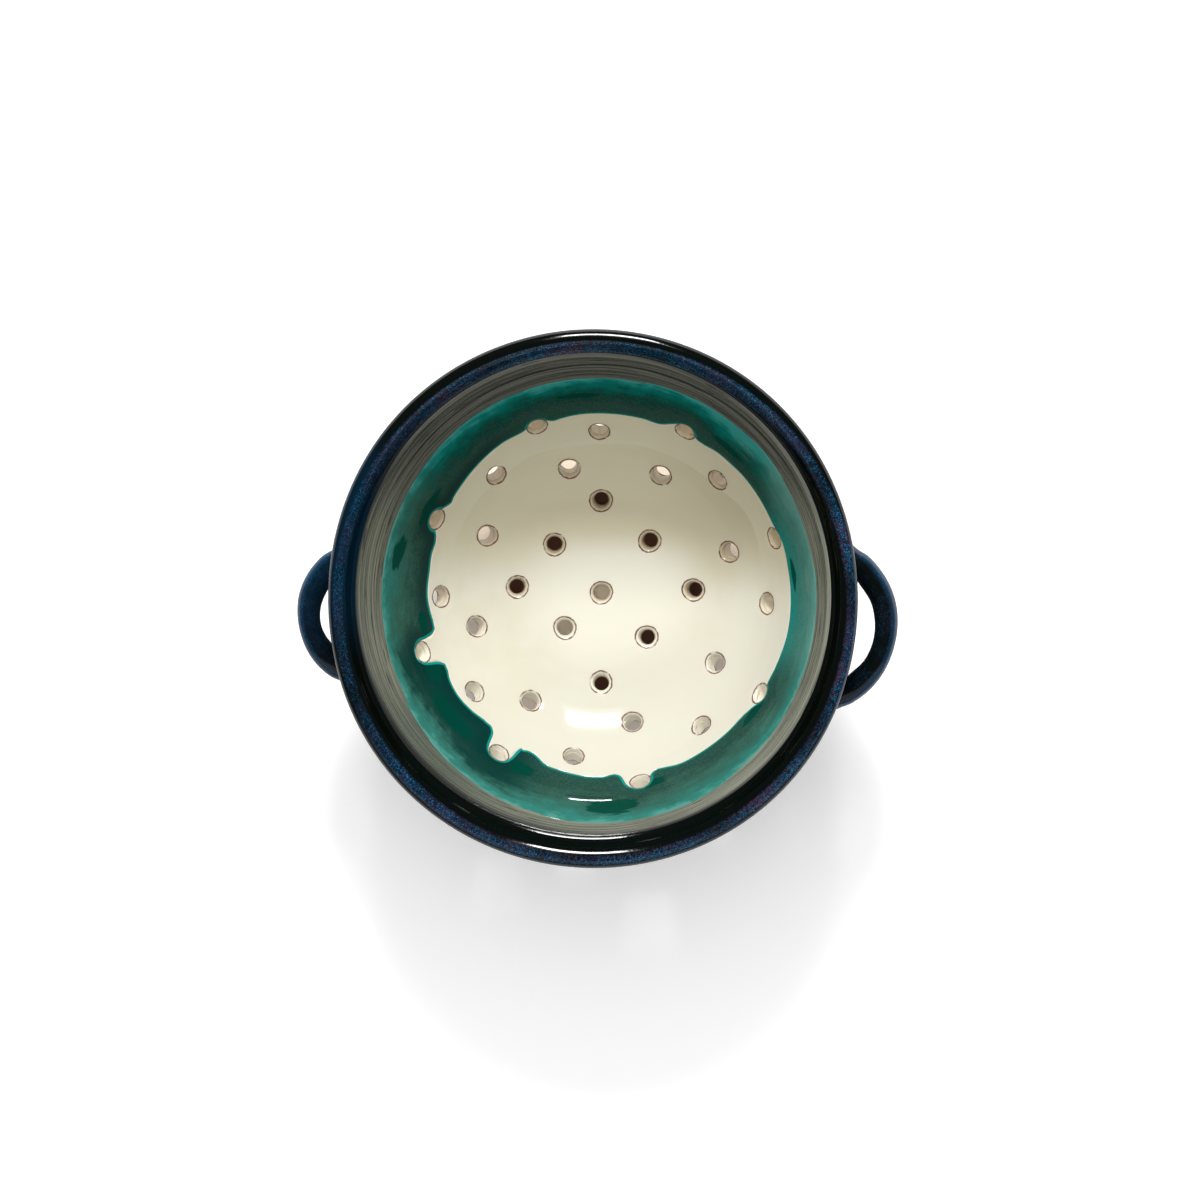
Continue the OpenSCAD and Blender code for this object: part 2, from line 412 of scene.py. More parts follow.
@dataclass(frozen=True)
class HolePattern:
    """The rings of drain holes, as degrees and shares of each ring's radius."""

    foot_r: float = 40.0
    foot_inner_r: float = 34.6
    ring_2_r: float = 20.6
    ring_3_gap: float = 5.2
    ring_4_gap: float = 2.4
    ring_5_share: float = 0.37
    ring_6_share: float = 0.57
    ring_2: tuple = ((47, 1.12), (134, 1.06), (224, 0.8), (316, 1.0))
    ring_3: tuple = ((2, 1.02), (90, 1.02), (176, 0.93), (270, 0.99))
    ring_4: tuple = ((18, 1.03), (63, 1.01), (104, 0.98), (153, 0.97),
                     (195, 0.98), (237, 0.98), (284, 1.01), (329, 1.02))
    ring_5: tuple = ((357, 1.03), (44, 1.01), (90, 1.0), (131, 0.97),
                     (181, 0.98), (218, 0.98), (261, 1.01), (308, 1.02))
    ring_6: tuple = ((18, 1.0), (62, 1.0), (110, 0.97), (155, 0.97),
                     (198, 1.0), (238, 1.01), (283, 1.03), (329, 1.02))

    @cached_property
    def holes(self) -> tuple[DrainHole, ...]:
        """Every drain hole, the middle one first."""
        belly = OUTLINE.rim_points["shoulder_low"][0] - self.foot_r
        rings = (
            (HoleKind.FLOOR, 0.0, ((0, 1.0),)),
            (HoleKind.FLOOR, self.ring_2_r, self.ring_2),
            (HoleKind.FLOOR, self.foot_inner_r - self.ring_3_gap, self.ring_3),
            (HoleKind.FLANK, self.foot_r + self.ring_4_gap, self.ring_4),
            (HoleKind.BELLY, self.foot_r + self.ring_5_share * belly, self.ring_5),
            (HoleKind.BELLY, self.foot_r + self.ring_6_share * belly, self.ring_6),
        )
        places = [(kind, radius * share, float(turn))
                  for kind, radius, ring in rings for turn, share in ring]
        return tuple(DrainHole(*place, number) for number, place in enumerate(places))


HOLES = HolePattern().holes


# Glaze lines
@dataclass(frozen=True)
class PouredLine:
    """An edge of a glaze, read off the photograph as degrees and pixels about one pixel."""

    readings: tuple[Span, ...]
    mm_per_px: float
    middle: Span

    def plane_points(self, count: int) -> np.ndarray:
        """The line as a closed loop in the unrolled plane.

        Args:
            count: How many points the loop has.

        Returns:
            One row for each point, counter-clockwise.
        """
        table = np.array(sorted(self.readings))
        turns = np.concatenate([table[-3:, 0] - 360.0, table[:, 0], table[:3, 0] + 360.0])
        reach = np.concatenate([table[-3:, 1], table[:, 1], table[:3, 1]])
        tangent = np.gradient(reach, turns)
        asked = np.arange(count) * 360.0 / count
        here = np.clip(np.searchsorted(turns, asked, side="right") - 1, 0, len(turns) - 2)
        ahead = here + 1
        width = turns[ahead] - turns[here]
        # A smooth curve through the readings, piece by piece
        s = (asked - turns[here]) / width
        value = ((2 * s ** 3 - 3 * s ** 2 + 1) * reach[here]
                 + (s ** 3 - 2 * s ** 2 + s) * width * tangent[here]
                 + (3 * s ** 2 - 2 * s ** 3) * reach[ahead]
                 + (s ** 3 - s ** 2) * width * tangent[ahead])
        angle = np.radians(asked)
        x = self.middle[0] + self.mm_per_px * value * np.cos(angle)
        y = self.middle[1] + self.mm_per_px * value * np.sin(angle)
        station = OUTLINE.station(np.hypot(x, y))
        _, height = OUTLINE.inside(station, np.zeros_like(station))
        unbent = 1.0 / (1.0 - HAND.shrink(np.arctan2(y, x), height))
        x, y = x * unbent, y * unbent
        station = OUTLINE.station(np.hypot(x, y))
        return np.stack([station * x, station * y], axis=1) / np.hypot(x, y)[:, None]


# Where the teal glaze ends on the cream, with its drips between the upper holes
CREAM_EDGE = PouredLine(
    readings=(
        (0, 198), (5, 198), (10, 197.8), (14, 198.2), (18, 197.5), (22, 195.5), (30, 195),
        (40, 194.5), (45, 193.5), (50, 192.8), (55, 190.7), (57.5, 191.2), (59, 193.5), (61, 196),
        (63.5, 195.8), (66, 192.5), (68.5, 188.8), (75, 188), (85, 187.2), (95, 186.2),
        (100, 184.8), (103, 184), (105.5, 186.2), (107.5, 186.8), (110, 185), (113, 183),
        (120, 182.3), (130, 179.5), (140, 176.5), (144, 175.5), (146.5, 174.5), (149, 177.5),
        (151, 179.8), (153, 180.2), (155, 179), (157.5, 174), (160, 171.5), (165, 171.2),
        (170, 170), (180, 169.5), (185, 167.5), (189, 166), (191.5, 167), (193, 172), (193.8, 180),
        (195, 185), (197, 187), (199.5, 185.5), (201, 180), (201.8, 173), (203, 168),
        (205.5, 166.5), (209, 168.5), (215, 170), (222, 169), (229, 167.2), (232, 168.5),
        (233.5, 173), (234.5, 182), (236, 186.5), (238.5, 187.8), (240, 187), (241.5, 185),
        (242.7, 179), (243.2, 173), (245, 170), (248, 169), (250.5, 171), (253, 174.5),
        (258, 176.8), (264, 178.5), (268, 179.7), (273, 180), (277.5, 179.2), (279, 182),
        (280, 188), (281.5, 192), (284, 193.5), (286.5, 191.5), (288, 186), (290, 183.2),
        (293, 184), (297, 186.5), (305, 188), (315, 189.5), (323, 190.8), (326, 192.8),
        (328.5, 195), (331, 195), (333.5, 194), (340, 195), (350, 197.5)),
    mm_per_px=0.3154,
    middle=(-1.4, -1.25),
)
# Where the teal glaze thins out into the olive one
OLIVE_EDGE = PouredLine(
    readings=(
        (0, 222), (20, 222), (30, 223), (40, 224), (50, 223.8), (60, 223.2), (70, 222.5),
        (80, 221.5), (90, 220.5), (100, 219.5), (110, 219), (120, 218.3), (130, 217.5),
        (140, 216.5), (150, 215.2), (160, 214.5), (170, 214), (180, 213.8), (190, 213.6),
        (200, 213.5), (205, 213.8), (210, 215), (220, 217), (230, 218.5), (240, 219.8),
        (250, 220.6), (260, 221.5), (270, 222.6), (280, 223.3), (290, 223.7), (300, 223.8),
        (310, 223.5), (320, 222.8), (330, 222), (340, 221.8), (350, 221.6)),
    mm_per_px=0.3122,
    middle=(-0.5, -0.57),
)


# Relief of the wall
@dataclass(frozen=True)
class ThrowingRelief:
    """Ridges, rings and dents that the potter's fingers and punch left in the wall."""

    spiral_pitch: float = 5.5
    spiral_height: float = 0.02
    # The rings rise between the floor's and the wall's spans, as distances along the wall
    floor_fade: Span = (6.0, 20.0)
    wall_fade: Span = (62.0, 70.0)
    # Dents round the holes, and how far from a hole's middle and edge they matter
    dent_depth: float = 0.13
    dent_reach: float = 1.3
    near_middle: float = 9.0
    near_edge: float = 6.0
    # Radius from the axis, height, half width, middle in degrees and spread of each ridge
    ridges: tuple[tuple[float, float, float, float, float], ...] = (
        (65.3, 0.36, 0.6, 278.0, 34.0), (62.7, 0.07, 0.3, 100.0, 22.0),
        (63.6, 0.06, 0.3, 104.0, 18.0), (62.3, 0.42, 0.42, 269.5, 8.5),
        (61.5, 0.10, 0.6, 180.0, 30.0), (64.5, 0.07, 0.5, 30.0, 40.0))

    def height(self, plane: np.ndarray, depth: float) -> np.ndarray:
        """Height of the surface above the plain turned outline, towards the inside.

        Args:
            plane: Points in the unrolled plane.
            depth: Depth of the surface in the wall.

        Returns:
            One height for each point, negative where the surface sinks into the wall.
        """
        station = np.hypot(plane[:, 0], plane[:, 1])
        turn = np.arctan2(plane[:, 1], plane[:, 0])
        inside = depth < OUTLINE.clay / 2.0
        total = np.zeros(len(plane))
        if inside:
            spiral = np.sin(2.0 * math.pi * station / self.spiral_pitch + turn)
            shown = smoothstep(station, *self.floor_fade) * (
                1.0 - smoothstep(station, *self.wall_fade))
            total = self.spiral_height * spiral * shown
            for radius, rise, half_width, degrees, spread in self.ridges:
                middle = float(OUTLINE.station(np.array([radius]))[0])
                swell = rise * np.exp(-(degrees_from(np.degrees(turn), degrees) / spread) ** 2)
                total += swell * np.exp(-((station - middle) / half_width) ** 2)
        sign = 1.0 if inside else -1.0
        for hole in HOLES:
            near = np.abs(station - hole.station) < self.near_middle
            gap = hole.gap(plane[near], depth)
            _, width, lip = hole.kind.value.at(depth)
            rounding = np.clip(gap / width, 0.0, 1.0)
            sunk = lip * (1.0 - np.sqrt(1.0 - (1.0 - rounding) ** 2))
            sunk += self.dent_depth * np.exp(-(np.maximum(gap, 0.0) / self.dent_reach) ** 2)
            total[near] -= sign * sunk * (gap < self.near_edge)
        return total


RELIEF = ThrowingRelief()


# Meshes
def fold(plane: np.ndarray, depth: Union[float, np.ndarray]) -> np.ndarray:
    """Folds points of the unrolled plane into the bowl's wall.

    Args:
        plane: Points in the unrolled plane.
        depth: Depth in the wall, of all or of each of them.

    Returns:
        The points in space.
    """
    station = np.hypot(plane[:, 0], plane[:, 1])
    safe = np.maximum(station, 1e-9)
    radius, height = OUTLINE.inside(station, np.broadcast_to(depth, station.shape))
    return np.stack([radius * plane[:, 0] / safe, radius * plane[:, 1] / safe, height], axis=1)


@dataclass(frozen=True)
class ThrownByHand:
    """How far the fired bowl is from round and level."""

    squash: float = 0.0165
    lean: float = 0.0022
    sag: float = 0.35
    # The cove lies this far to the north of the rim's middle
    cove_shift: float = 1.1
    # Heights between which the wall begins to shrink, to sag and to carry the cove along
    shrinks: Span = (40.0, 74.0)
    sags: Span = (20.0, 76.0)
    shifts: Span = (60.0, 66.0)
    # Distances from the axis between which the shift begins and ends, and the handles begin
    cove_inner: Span = (65.0, 71.0)
    cove_outer: Span = (74.5, 79.0)
    handles: Span = (83.0, 86.0)

    def shrink(self, turn: np.ndarray, height: np.ndarray) -> np.ndarray:
        """Share by which the wall is pressed in, most at the rim beside the handles."""
        leaning_in = self.lean * 0.5 * (1.0 + np.sin(3.0 * turn + 1.1))
        return (self.squash * np.cos(turn) ** 6 + leaning_in) * smoothstep(height, *self.shrinks)

    def bend(self, points: np.ndarray) -> np.ndarray:
        """Moves points as the fired bowl is warped, which brings its rim inwards or down.

        Args:
            points: Points of the turned bowl.

        Returns:
            Where they are on the fired one.
        """
        reach = np.hypot(points[:, 0], points[:, 1])
        turn = np.arctan2(points[:, 1], points[:, 0])
        height = points[:, 2]
        factor = 1.0 - self.shrink(turn, height) * (1.0 - smoothstep(reach, *self.handles))
        level = self.sag * smoothstep(height, *self.sags) * 0.5 * (1.0 + np.sin(2.0 * turn + 2.6))
        moved = points.copy()
        moved[:, :2] *= factor[:, None]
        in_cove = smoothstep(reach, *self.cove_inner) * (1.0 - smoothstep(reach, *self.cove_outer))
        moved[:, 1] += self.cove_shift * in_cove * smoothstep(height, *self.shifts)
        moved[:, 2] -= level
        return moved


HAND = ThrownByHand()


def inside_loop(points: np.ndarray, loop: np.ndarray) -> np.ndarray:
    """Finds the points inside a closed loop, by counting crossings.

    Args:
        points: Points of the plane.
        loop: Corners of the loop in order.

    Returns:
        Whether each point lies inside.
    """
    inside = np.zeros(len(points), dtype=bool)
    x, y = points[:, 0], points[:, 1]
    ahead = np.roll(loop, -1, axis=0)
    for (x0, y0), (x1, y1) in zip(loop, ahead):
        crosses = (y0 > y) != (y1 > y)
        if crosses.any():
            at = (x1 - x0) * (y[crosses] - y0) / (y1 - y0) + x0
            inside[crosses] ^= x[crosses] < at
    return inside


def loop_gap(points: np.ndarray, loop: np.ndarray) -> np.ndarray:
    """Distance of points from a closed loop of short straight lines.

    Args:
        points: Points of the plane.
        loop: Corners of the loop in order.

    Returns:
        One distance for each point.
    """
    best = np.full(len(points), np.inf)
    along = np.roll(loop, -1, axis=0) - loop
    length = np.maximum((along ** 2).sum(axis=1), 1e-12)
    # Part by part, to keep the tables of distances small
    size = 4000
    for start in range(0, len(points), size):
        offset = points[start:start + size, None, :] - loop[None, :, :]
        share = np.clip((offset * along[None]).sum(axis=2) / length, 0.0, 1.0)
        gap = np.linalg.norm(offset - share[..., None] * along[None], axis=2)
        best[start:start + size] = gap.min(axis=1)
    return best


def full_ring(station: float) -> np.ndarray:
    """A closed ring about the axis in the unrolled plane, with the shared number of points."""
    turn = full_turn(TURN_STEPS)
    return station * np.stack([np.cos(turn), np.sin(turn)], axis=1)


def band(near: Sequence[int], far: Sequence[int]) -> list[tuple[int, ...]]:
    """Joins two closed rings of as many points each.

    Args:
        near: Numbers of the points of one ring in order.
        far: Numbers of the points of the other.

    Returns:
        The faces between them.
    """
    ahead = [*range(1, len(near)), 0]
    return [(near[i], near[j], far[j], far[i]) for i, j in enumerate(ahead)]


def mark_points(mesh: bpy.types.Mesh, values: dict[str, Sequence]) -> None:
    """Stores values on the points of a mesh.

    Args:
        mesh: The mesh.
        values: Numbers or vectors, one for each point, by name.
    """
    for key, value in values.items():
        value = np.asarray(value, dtype=np.float32)
        kind, name = ("FLOAT", "value") if value.ndim == 1 else ("FLOAT_VECTOR", "vector")
        mesh.attributes.new(key, kind, "POINT").data.foreach_set(name, value.ravel())


@dataclass
class MeshParts:
    """Vertices in millimetres, faces and point values that become one mesh."""

    points: np.ndarray
    faces: list[tuple[int, ...]]
    values: dict[str, np.ndarray] = field(default_factory=dict)

    def mesh(self, name: str, weld: float = 0.0, face_out: bool = False) -> bpy.types.Mesh:
        """Makes the mesh.

        Args:
            name: Name of the mesh.
            weld: Distance in millimetres within which points are merged, or 0.
            face_out: Whether the form is closed and every face is to look outwards.

        Returns:
            A smooth mesh in metres, warped as the fired bowl is.
        """
        made = bpy.data.meshes.new(name)
        made.from_pydata([tuple(p) for p in HAND.bend(self.points) * MM], [], self.faces)
        mark_points(made, self.values)
        work = bmesh.new()
        work.from_mesh(made)
        if weld:
            bmesh.ops.remove_doubles(work, verts=work.verts, dist=weld * MM)
        if face_out:
            bmesh.ops.recalc_face_normals(work, faces=work.faces)
        work.to_mesh(made)
        work.free()
        made.polygons.foreach_set("use_smooth", np.ones(len(made.polygons), dtype=bool))
        made.update()
        return made

    def added(self, other: "MeshParts") -> "MeshParts":
        """Joins two sets of parts, which have values of the same names.

        Args:
            other: The parts to add to these.

        Returns:
            Both as one.
        """
        shift = len(self.points)
        values = {key: np.concatenate([value, other.values[key]])
                  for key, value in self.values.items()}
        faces = self.faces + [tuple(i + shift for i in face) for face in other.faces]
        return MeshParts(np.concatenate([self.points, other.points]), faces, values)


@dataclass
class WallPatch:
    """A patch of the wall, cut out round its drain holes and bounded by one or two loops."""

    outer: np.ndarray
    inner: Optional[np.ndarray] = None
    holes: tuple[DrainHole, ...] = ()
    depth: float = 0.0
    spacing: float = 1.0
    # Distances from the inner loop at which extra rows follow it
    rows: tuple[float, ...] = ()
    # Distances from the holes' edges at which rings follow them, as shares of the lip
    rings: tuple[float, ...] = (0.0, 0.05, 0.14, 0.28, 0.46, 0.7, 1.0)
    # Least distance of free points from a loop, as a share of the spacing, and of rows and rings
    margin_share: float = 0.55
    outer_margin: float = 0.12
    inner_margin: float = 0.03
    row_share: float = 0.93
    # Where a hole's edge lies on its rounded lip, and the distance that counts as far from any
    edge_on_lip: float = 0.85
    far: float = 9.0

    def _grid(self) -> np.ndarray:
        """Evenly spread points over the whole plane, in rings about the axis.

        Returns:
            One row for each point.
        """
        reach = float(np.hypot(self.outer[:, 0], self.outer[:, 1]).max())
        rows = [np.zeros((1, 2))]
        for number in range(1, int(reach / self.spacing) + 2):
            radius = number * self.spacing
            count = max(6, round(2.0 * math.pi * number))
            turn = (np.arange(count) + 0.5 * (number % 2)) * 2.0 * math.pi / count
            rows.append(np.stack([radius * np.cos(turn), radius * np.sin(turn)], axis=1))
        return np.concatenate(rows)

    def _follow_inner(self) -> np.ndarray:
        """Rows of points that follow the inner loop, on the patch's side of it.

        Returns:
            One row for each point.
        """
        along = np.roll(self.inner, -1, axis=0) - np.roll(self.inner, 1, axis=0)
        length = np.linalg.norm(along, axis=1)[:, None]
        normal = np.stack([along[:, 1], -along[:, 0]], axis=1) / length
        made = []
        for distance in self.rows:
            row = self.inner + normal * distance
            gap = loop_gap(row, self.inner)
            made.append(row[(gap > self.row_share * distance) & ~inside_loop(row, self.inner)])
        return np.concatenate(made)

    def _clear(self, points: np.ndarray, outer_gap: float, inner_gap: float) -> np.ndarray:
        """Keeps the points that lie in the patch, well away from its loops.

        Args:
            points: Points in the unrolled plane.
            outer_gap: Least distance from the outer loop.
            inner_gap: Least distance from the inner loop.

        Returns:
            The points that are left.
        """
        points = points[inside_loop(points, self.outer)]
        points = points[loop_gap(points, self.outer) > outer_gap]
        if self.inner is not None:
            points = points[~inside_loop(points, self.inner)]
            points = points[loop_gap(points, self.inner) > inner_gap]
        return points

    def _free_points(self) -> np.ndarray:
        """Points between the loops: rings round the holes, rows by the inner loop, and a grid.

        Returns:
            One row for each point.
        """
        margin = self.margin_share * self.spacing
        free = self._clear(self._grid(), margin, margin + max(self.rows, default=0.0))
        following = []
        for hole in self.holes:
            radius, width, _ = hole.kind.value.at(self.depth)
            free = free[hole.gap(free, self.depth) > width + margin]
            following += [hole.ring(radius + width * share, self.depth)
                          for share in self.rings[1:]]
        if self.rows:
            following.append(self._follow_inner())
        if following:
            around = self._clear(np.concatenate(following), self.outer_margin, self.inner_margin)
            free = np.concatenate([around, free])
        return free

    def triangulate(self) -> tuple[np.ndarray, list[tuple[int, ...]], list[list[int]]]:
        """Cuts the patch into triangles.

        Returns:
            Points in the unrolled plane, triangles, and the points round each hole's edge.
        """
        bounds = [self.outer] + ([self.inner] if self.inner is not None else [])
        edge_rings = [hole.ring(hole.kind.value.at(self.depth)[0], self.depth)
                      for hole in self.holes]
        places, edges = [], []
        for loop in bounds + edge_rings:
            first = len(places)
            places += [Vector(p) for p in loop]
            edges += [(first + i, first + (i + 1) % len(loop)) for i in range(len(loop))]
        places += [Vector(p) for p in self._free_points()]
        found, _, triangles, origin, _, _ = delaunay_2d_cdt(places, edges, [], 0, 1e-7)
        points, faces = np.array([tuple(p) for p in found]), np.array(triangles)
        where = {source: index for index, sources in enumerate(origin) for source in sources}
        middle = points[faces].mean(axis=1)
        keep = inside_loop(middle, self.outer)
        if self.inner is not None:
            keep &= ~inside_loop(middle, self.inner)
        start = sum(len(loop) for loop in bounds)
        hole_rings = [[where[start + number * HOLE_STEPS + i] for i in range(HOLE_STEPS)]
                      for number in range(len(self.holes))]
        for ring in hole_rings:
            keep &= ~np.isin(faces, ring).all(axis=1)
        faces = faces[keep]
        a, b, c = (points[faces[:, corner]] for corner in range(3))
        turning = np.cross(b - a, c - a)
        faces[turning < 0] = faces[turning < 0][:, ::-1]
        return points, [tuple(face) for face in faces.tolist()], hole_rings

    def parts(self, lift: Union[float, np.ndarray] = 0.0, throat: Sequence[Span] = (),
              facing_out: bool = False, flat: Optional[tuple] = None) -> MeshParts:
        """Folds the patch into the wall.

        Args:
            lift: Height of all or of each of the points above the relief.
            throat: Depths below a hole's edge and changes of radius, for the rows of the tube
                that goes on from it.
            facing_out: Whether the patch's faces look out of the bowl.
            flat: Result of triangulate, when it is already known.

        Returns:
            The folded patch with its tubes, and its distance from the nearest hole's edge.
        """
        plane, faces, rings = flat or self.triangulate()
        points = [fold(plane, self.depth - (RELIEF.height(plane, self.depth) + lift))]
        near = np.full(len(plane), self.far)
        for hole in HOLES:
            edge = self.edge_on_lip * hole.kind.value.at(self.depth)[1]
            near = np.minimum(near, hole.gap(plane, self.depth) - edge)
        gaps = [near]
        way = -1.0 if facing_out else 1.0
        count = len(plane)
        for hole, before in zip(self.holes, rings):
            radius, lip, lip_depth = hole.kind.value.at(self.depth)
            edge_depth = self.depth + way * (lip_depth + RELIEF.dent_depth)
            for drop, wider in throat:
                row = hole.ring(radius + wider, edge_depth)
                points.append(fold(row, edge_depth + way * drop))
                gaps.append(np.full(HOLE_STEPS, -drop - self.edge_on_lip * lip))
                after = list(range(count, count + HOLE_STEPS))
                faces = faces + band(before, after)
                before = after
                count += HOLE_STEPS
        if facing_out:
            faces = [tuple(reversed(face)) for face in faces]
        return MeshParts(np.concatenate(points), faces, {"edge_gap": np.concatenate(gaps)})


# Node trees
@dataclass(frozen=True)
class Signal:
    """A value on its way through a node tree. Arithmetic on it adds Math nodes."""

    sketch: "NodeSketch"
    socket: bpy.types.NodeSocket

    def __add__(self, other: "Input") -> "Signal":
        """The sum."""
        return self.sketch.math("ADD", self, other)

    def __sub__(self, other: "Input") -> "Signal":
        """The difference."""
        return self.sketch.math("SUBTRACT", self, other)

    def __rsub__(self, other: float) -> "Signal":
        """A number less the signal."""
        return self.sketch.math("SUBTRACT", other, self)

    def __mul__(self, other: "Input") -> "Signal":
        """The product."""
        return self.sketch.math("MULTIPLY", self, other)

    def __truediv__(self, other: "Input") -> "Signal":
        """The quotient."""
        return self.sketch.math("DIVIDE", self, other)

    def __abs__(self) -> "Signal":
        """The size without the sign."""
        return self.sketch.math("ABSOLUTE", self)

    def over(self, limit: float) -> "Signal":
        """1 where the signal is over a limit, and 0 elsewhere."""
        return self.sketch.math("GREATER_THAN", self, limit)

    def under(self, limit: float) -> "Signal":
        """1 where the signal is under a limit, and 0 elsewhere."""
        return self.sketch.math("LESS_THAN", self, limit)

    def centred(self, width: float) -> "Signal":
        """A signal from 0 to 1, spread over a width about 0."""
        return self * width - 0.5 * width

    def fade(self, absent: float, full: float) -> "Signal":
        """A smooth run from 0 to 1.

        Args:
            absent: Where the result is 0.
            full: Where the result is 1, which may be the smaller of the two.

        Returns:
            The faded signal.
        """
        rises = absent < full
        return self.sketch.read("ShaderNodeMapRange", {
            "Value": self, "From Min": min(absent, full), "From Max": max(absent, full),
            "To Min": float(not rises), "To Max": float(rises)},
            "Result", interpolation_type="SMOOTHSTEP")


Input = Union[Signal, bpy.types.NodeSocket, float, Colour]


class NodeSketch:
    """A node tree that is wired with few words."""

    def __init__(self, tree: bpy.types.NodeTree) -> None:
        """Holds the tree."""
        self.tree = tree

    def add(self, kind: str, inputs: Optional[dict] = None, **settings: object) -> bpy.types.Node:
        """Adds a node.

        Args:
            kind: Blender's name of the node type.
            inputs: Values, signals or output sockets by input name or number.
            settings: Properties of the node.

        Returns:
            The node.
        """
        node = self.tree.nodes.new(kind)
        for key, value in settings.items():
            setattr(node, key, value)
        for key, value in (inputs or {}).items():
            socket = node.inputs[key]
            source = value.socket if isinstance(value, Signal) else value
            if isinstance(source, bpy.types.NodeSocket):
                self.tree.links.new(source, socket)
            else:
                socket.default_value = (*source, 1.0) if socket.type == "RGBA" else source
        return node

    def read(self, kind: str, inputs: Optional[dict] = None, output: Union[int, str] = 0,
             **settings: object) -> Signal:
        """Adds a node as add does, and returns one of its outputs."""
        return Signal(self, self.add(kind, inputs, **settings).outputs[output])

    def read_all(self, kind: str, inputs: Optional[dict] = None) -> tuple[Signal, ...]:
        """Adds a node as add does, and returns all of its outputs."""
        return tuple(Signal(self, socket) for socket in self.add(kind, inputs).outputs)

    def math(self, operation: str, first: Input, second: Input = 0.0,
             third: Input = 0.0) -> Signal:
        """Output of a Math node."""
        return self.read("ShaderNodeMath", {0: first, 1: second, 2: third}, operation=operation)

    def scaled(self, vector: Input, factor: Input) -> Signal:
        """A vector times a number."""
        return self.read("ShaderNodeVectorMath", {0: vector, "Scale": factor}, operation="SCALE")


class FormSketch(NodeSketch):
    """A geometry node tree with named inputs, which ends in one dressed mesh."""

    def __init__(self, name: str, source: str, inputs: dict[str, str], result: str) -> None:
        """Starts the tree.

        Args:
            name: Name of the tree.
            source: Name of the geometry that goes in.
            inputs: Kind of every other input, by name.
            result: Name of the geometry that comes out.
        """
        super().__init__(bpy.data.node_groups.new(name, "GeometryNodeTree"))
        face = self.tree.interface
        for title, kind in {source: "Geometry", **inputs, "Finish": "Material"}.items():
            face.new_socket(title, in_out="INPUT", socket_type="NodeSocket" + kind)
        face.new_socket(result, in_out="OUTPUT", socket_type="NodeSocketGeometry")
        self.given = self.add("NodeGroupInput").outputs

    def named(self, name: str, kind: str = "FLOAT") -> Signal:
        """A named value of the points."""
        return self.read("GeometryNodeInputNamedAttribute", {"Name": name}, data_type=kind)

    def drift(self, output: str, **scales: float) -> Signal:
        """Noise on the points' places, from the tree's seed."""
        place = self.read("GeometryNodeInputPosition")
        return self.read("ShaderNodeTexNoise", {"Vector": place, "W": self.given["Seed"], **scales},
                         output, noise_dimensions="4D")

    def swept(self, radius: Input, profile: Input) -> Signal:
        """A profile swept round a circle of the given divisions."""
        hub = self.read("GeometryNodeCurvePrimitiveCircle",
                        {"Resolution": self.given["Divisions"], "Radius": radius})
        return self.read("GeometryNodeCurveToMesh", {"Curve": hub, "Profile Curve": profile})

    def ended(self, form: Input, offset: Input) -> bpy.types.NodeTree:
        """Ends the tree.

        Args:
            form: The geometry.
            offset: How far each of its points moves.

        Returns:
            The tree, which yields a smooth mesh without instances, in its finish.
        """
        for kind, inputs in (
                ("SetPosition", {"Offset": offset}), ("SetShadeSmooth", {}),
                ("RealizeInstances", {}), ("SetMaterial", {"Material": self.given["Finish"]})):
            form = self.read("GeometryNode" + kind, {"Geometry": form, **inputs})
        self.add("NodeGroupOutput", {0: form})
        return self.tree


@cache
def turning_tree() -> bpy.types.NodeTree:
    """Turns an outline on the wheel and leaves throwing rings on its face.

    Returns:
        The tree, made once.
    """
    sketch = FormSketch("turned_on_the_wheel", "Outline", {
        "Divisions": "Int", "Hub Radius": "Float", "Ring Height": "Float", "Ring Pitch": "Float",
        "Drift": "Float", "Seed": "Int"}, "Turned")
    given = sketch.given
    outline = sketch.read("GeometryNodeMeshToCurve", {0: given["Outline"]})
    turned = sketch.swept(given["Hub Radius"], outline)
    wander = sketch.drift("Fac", Scale=22.0, Detail=1.0) * given["Drift"]
    turns = sketch.named("station") / given["Ring Pitch"] + wander
    coarse, fine = (sketch.math("SINE", turns * rate) for rate in (2.0 * math.pi, 5.2 * math.pi))
    rings = sketch.math("MULTIPLY_ADD", fine, 0.4, coarse)
    height = rings * sketch.named("marked") * given["Ring Height"]
    return sketch.ended(turned, sketch.scaled(sketch.read("GeometryNodeInputNormal"), height))


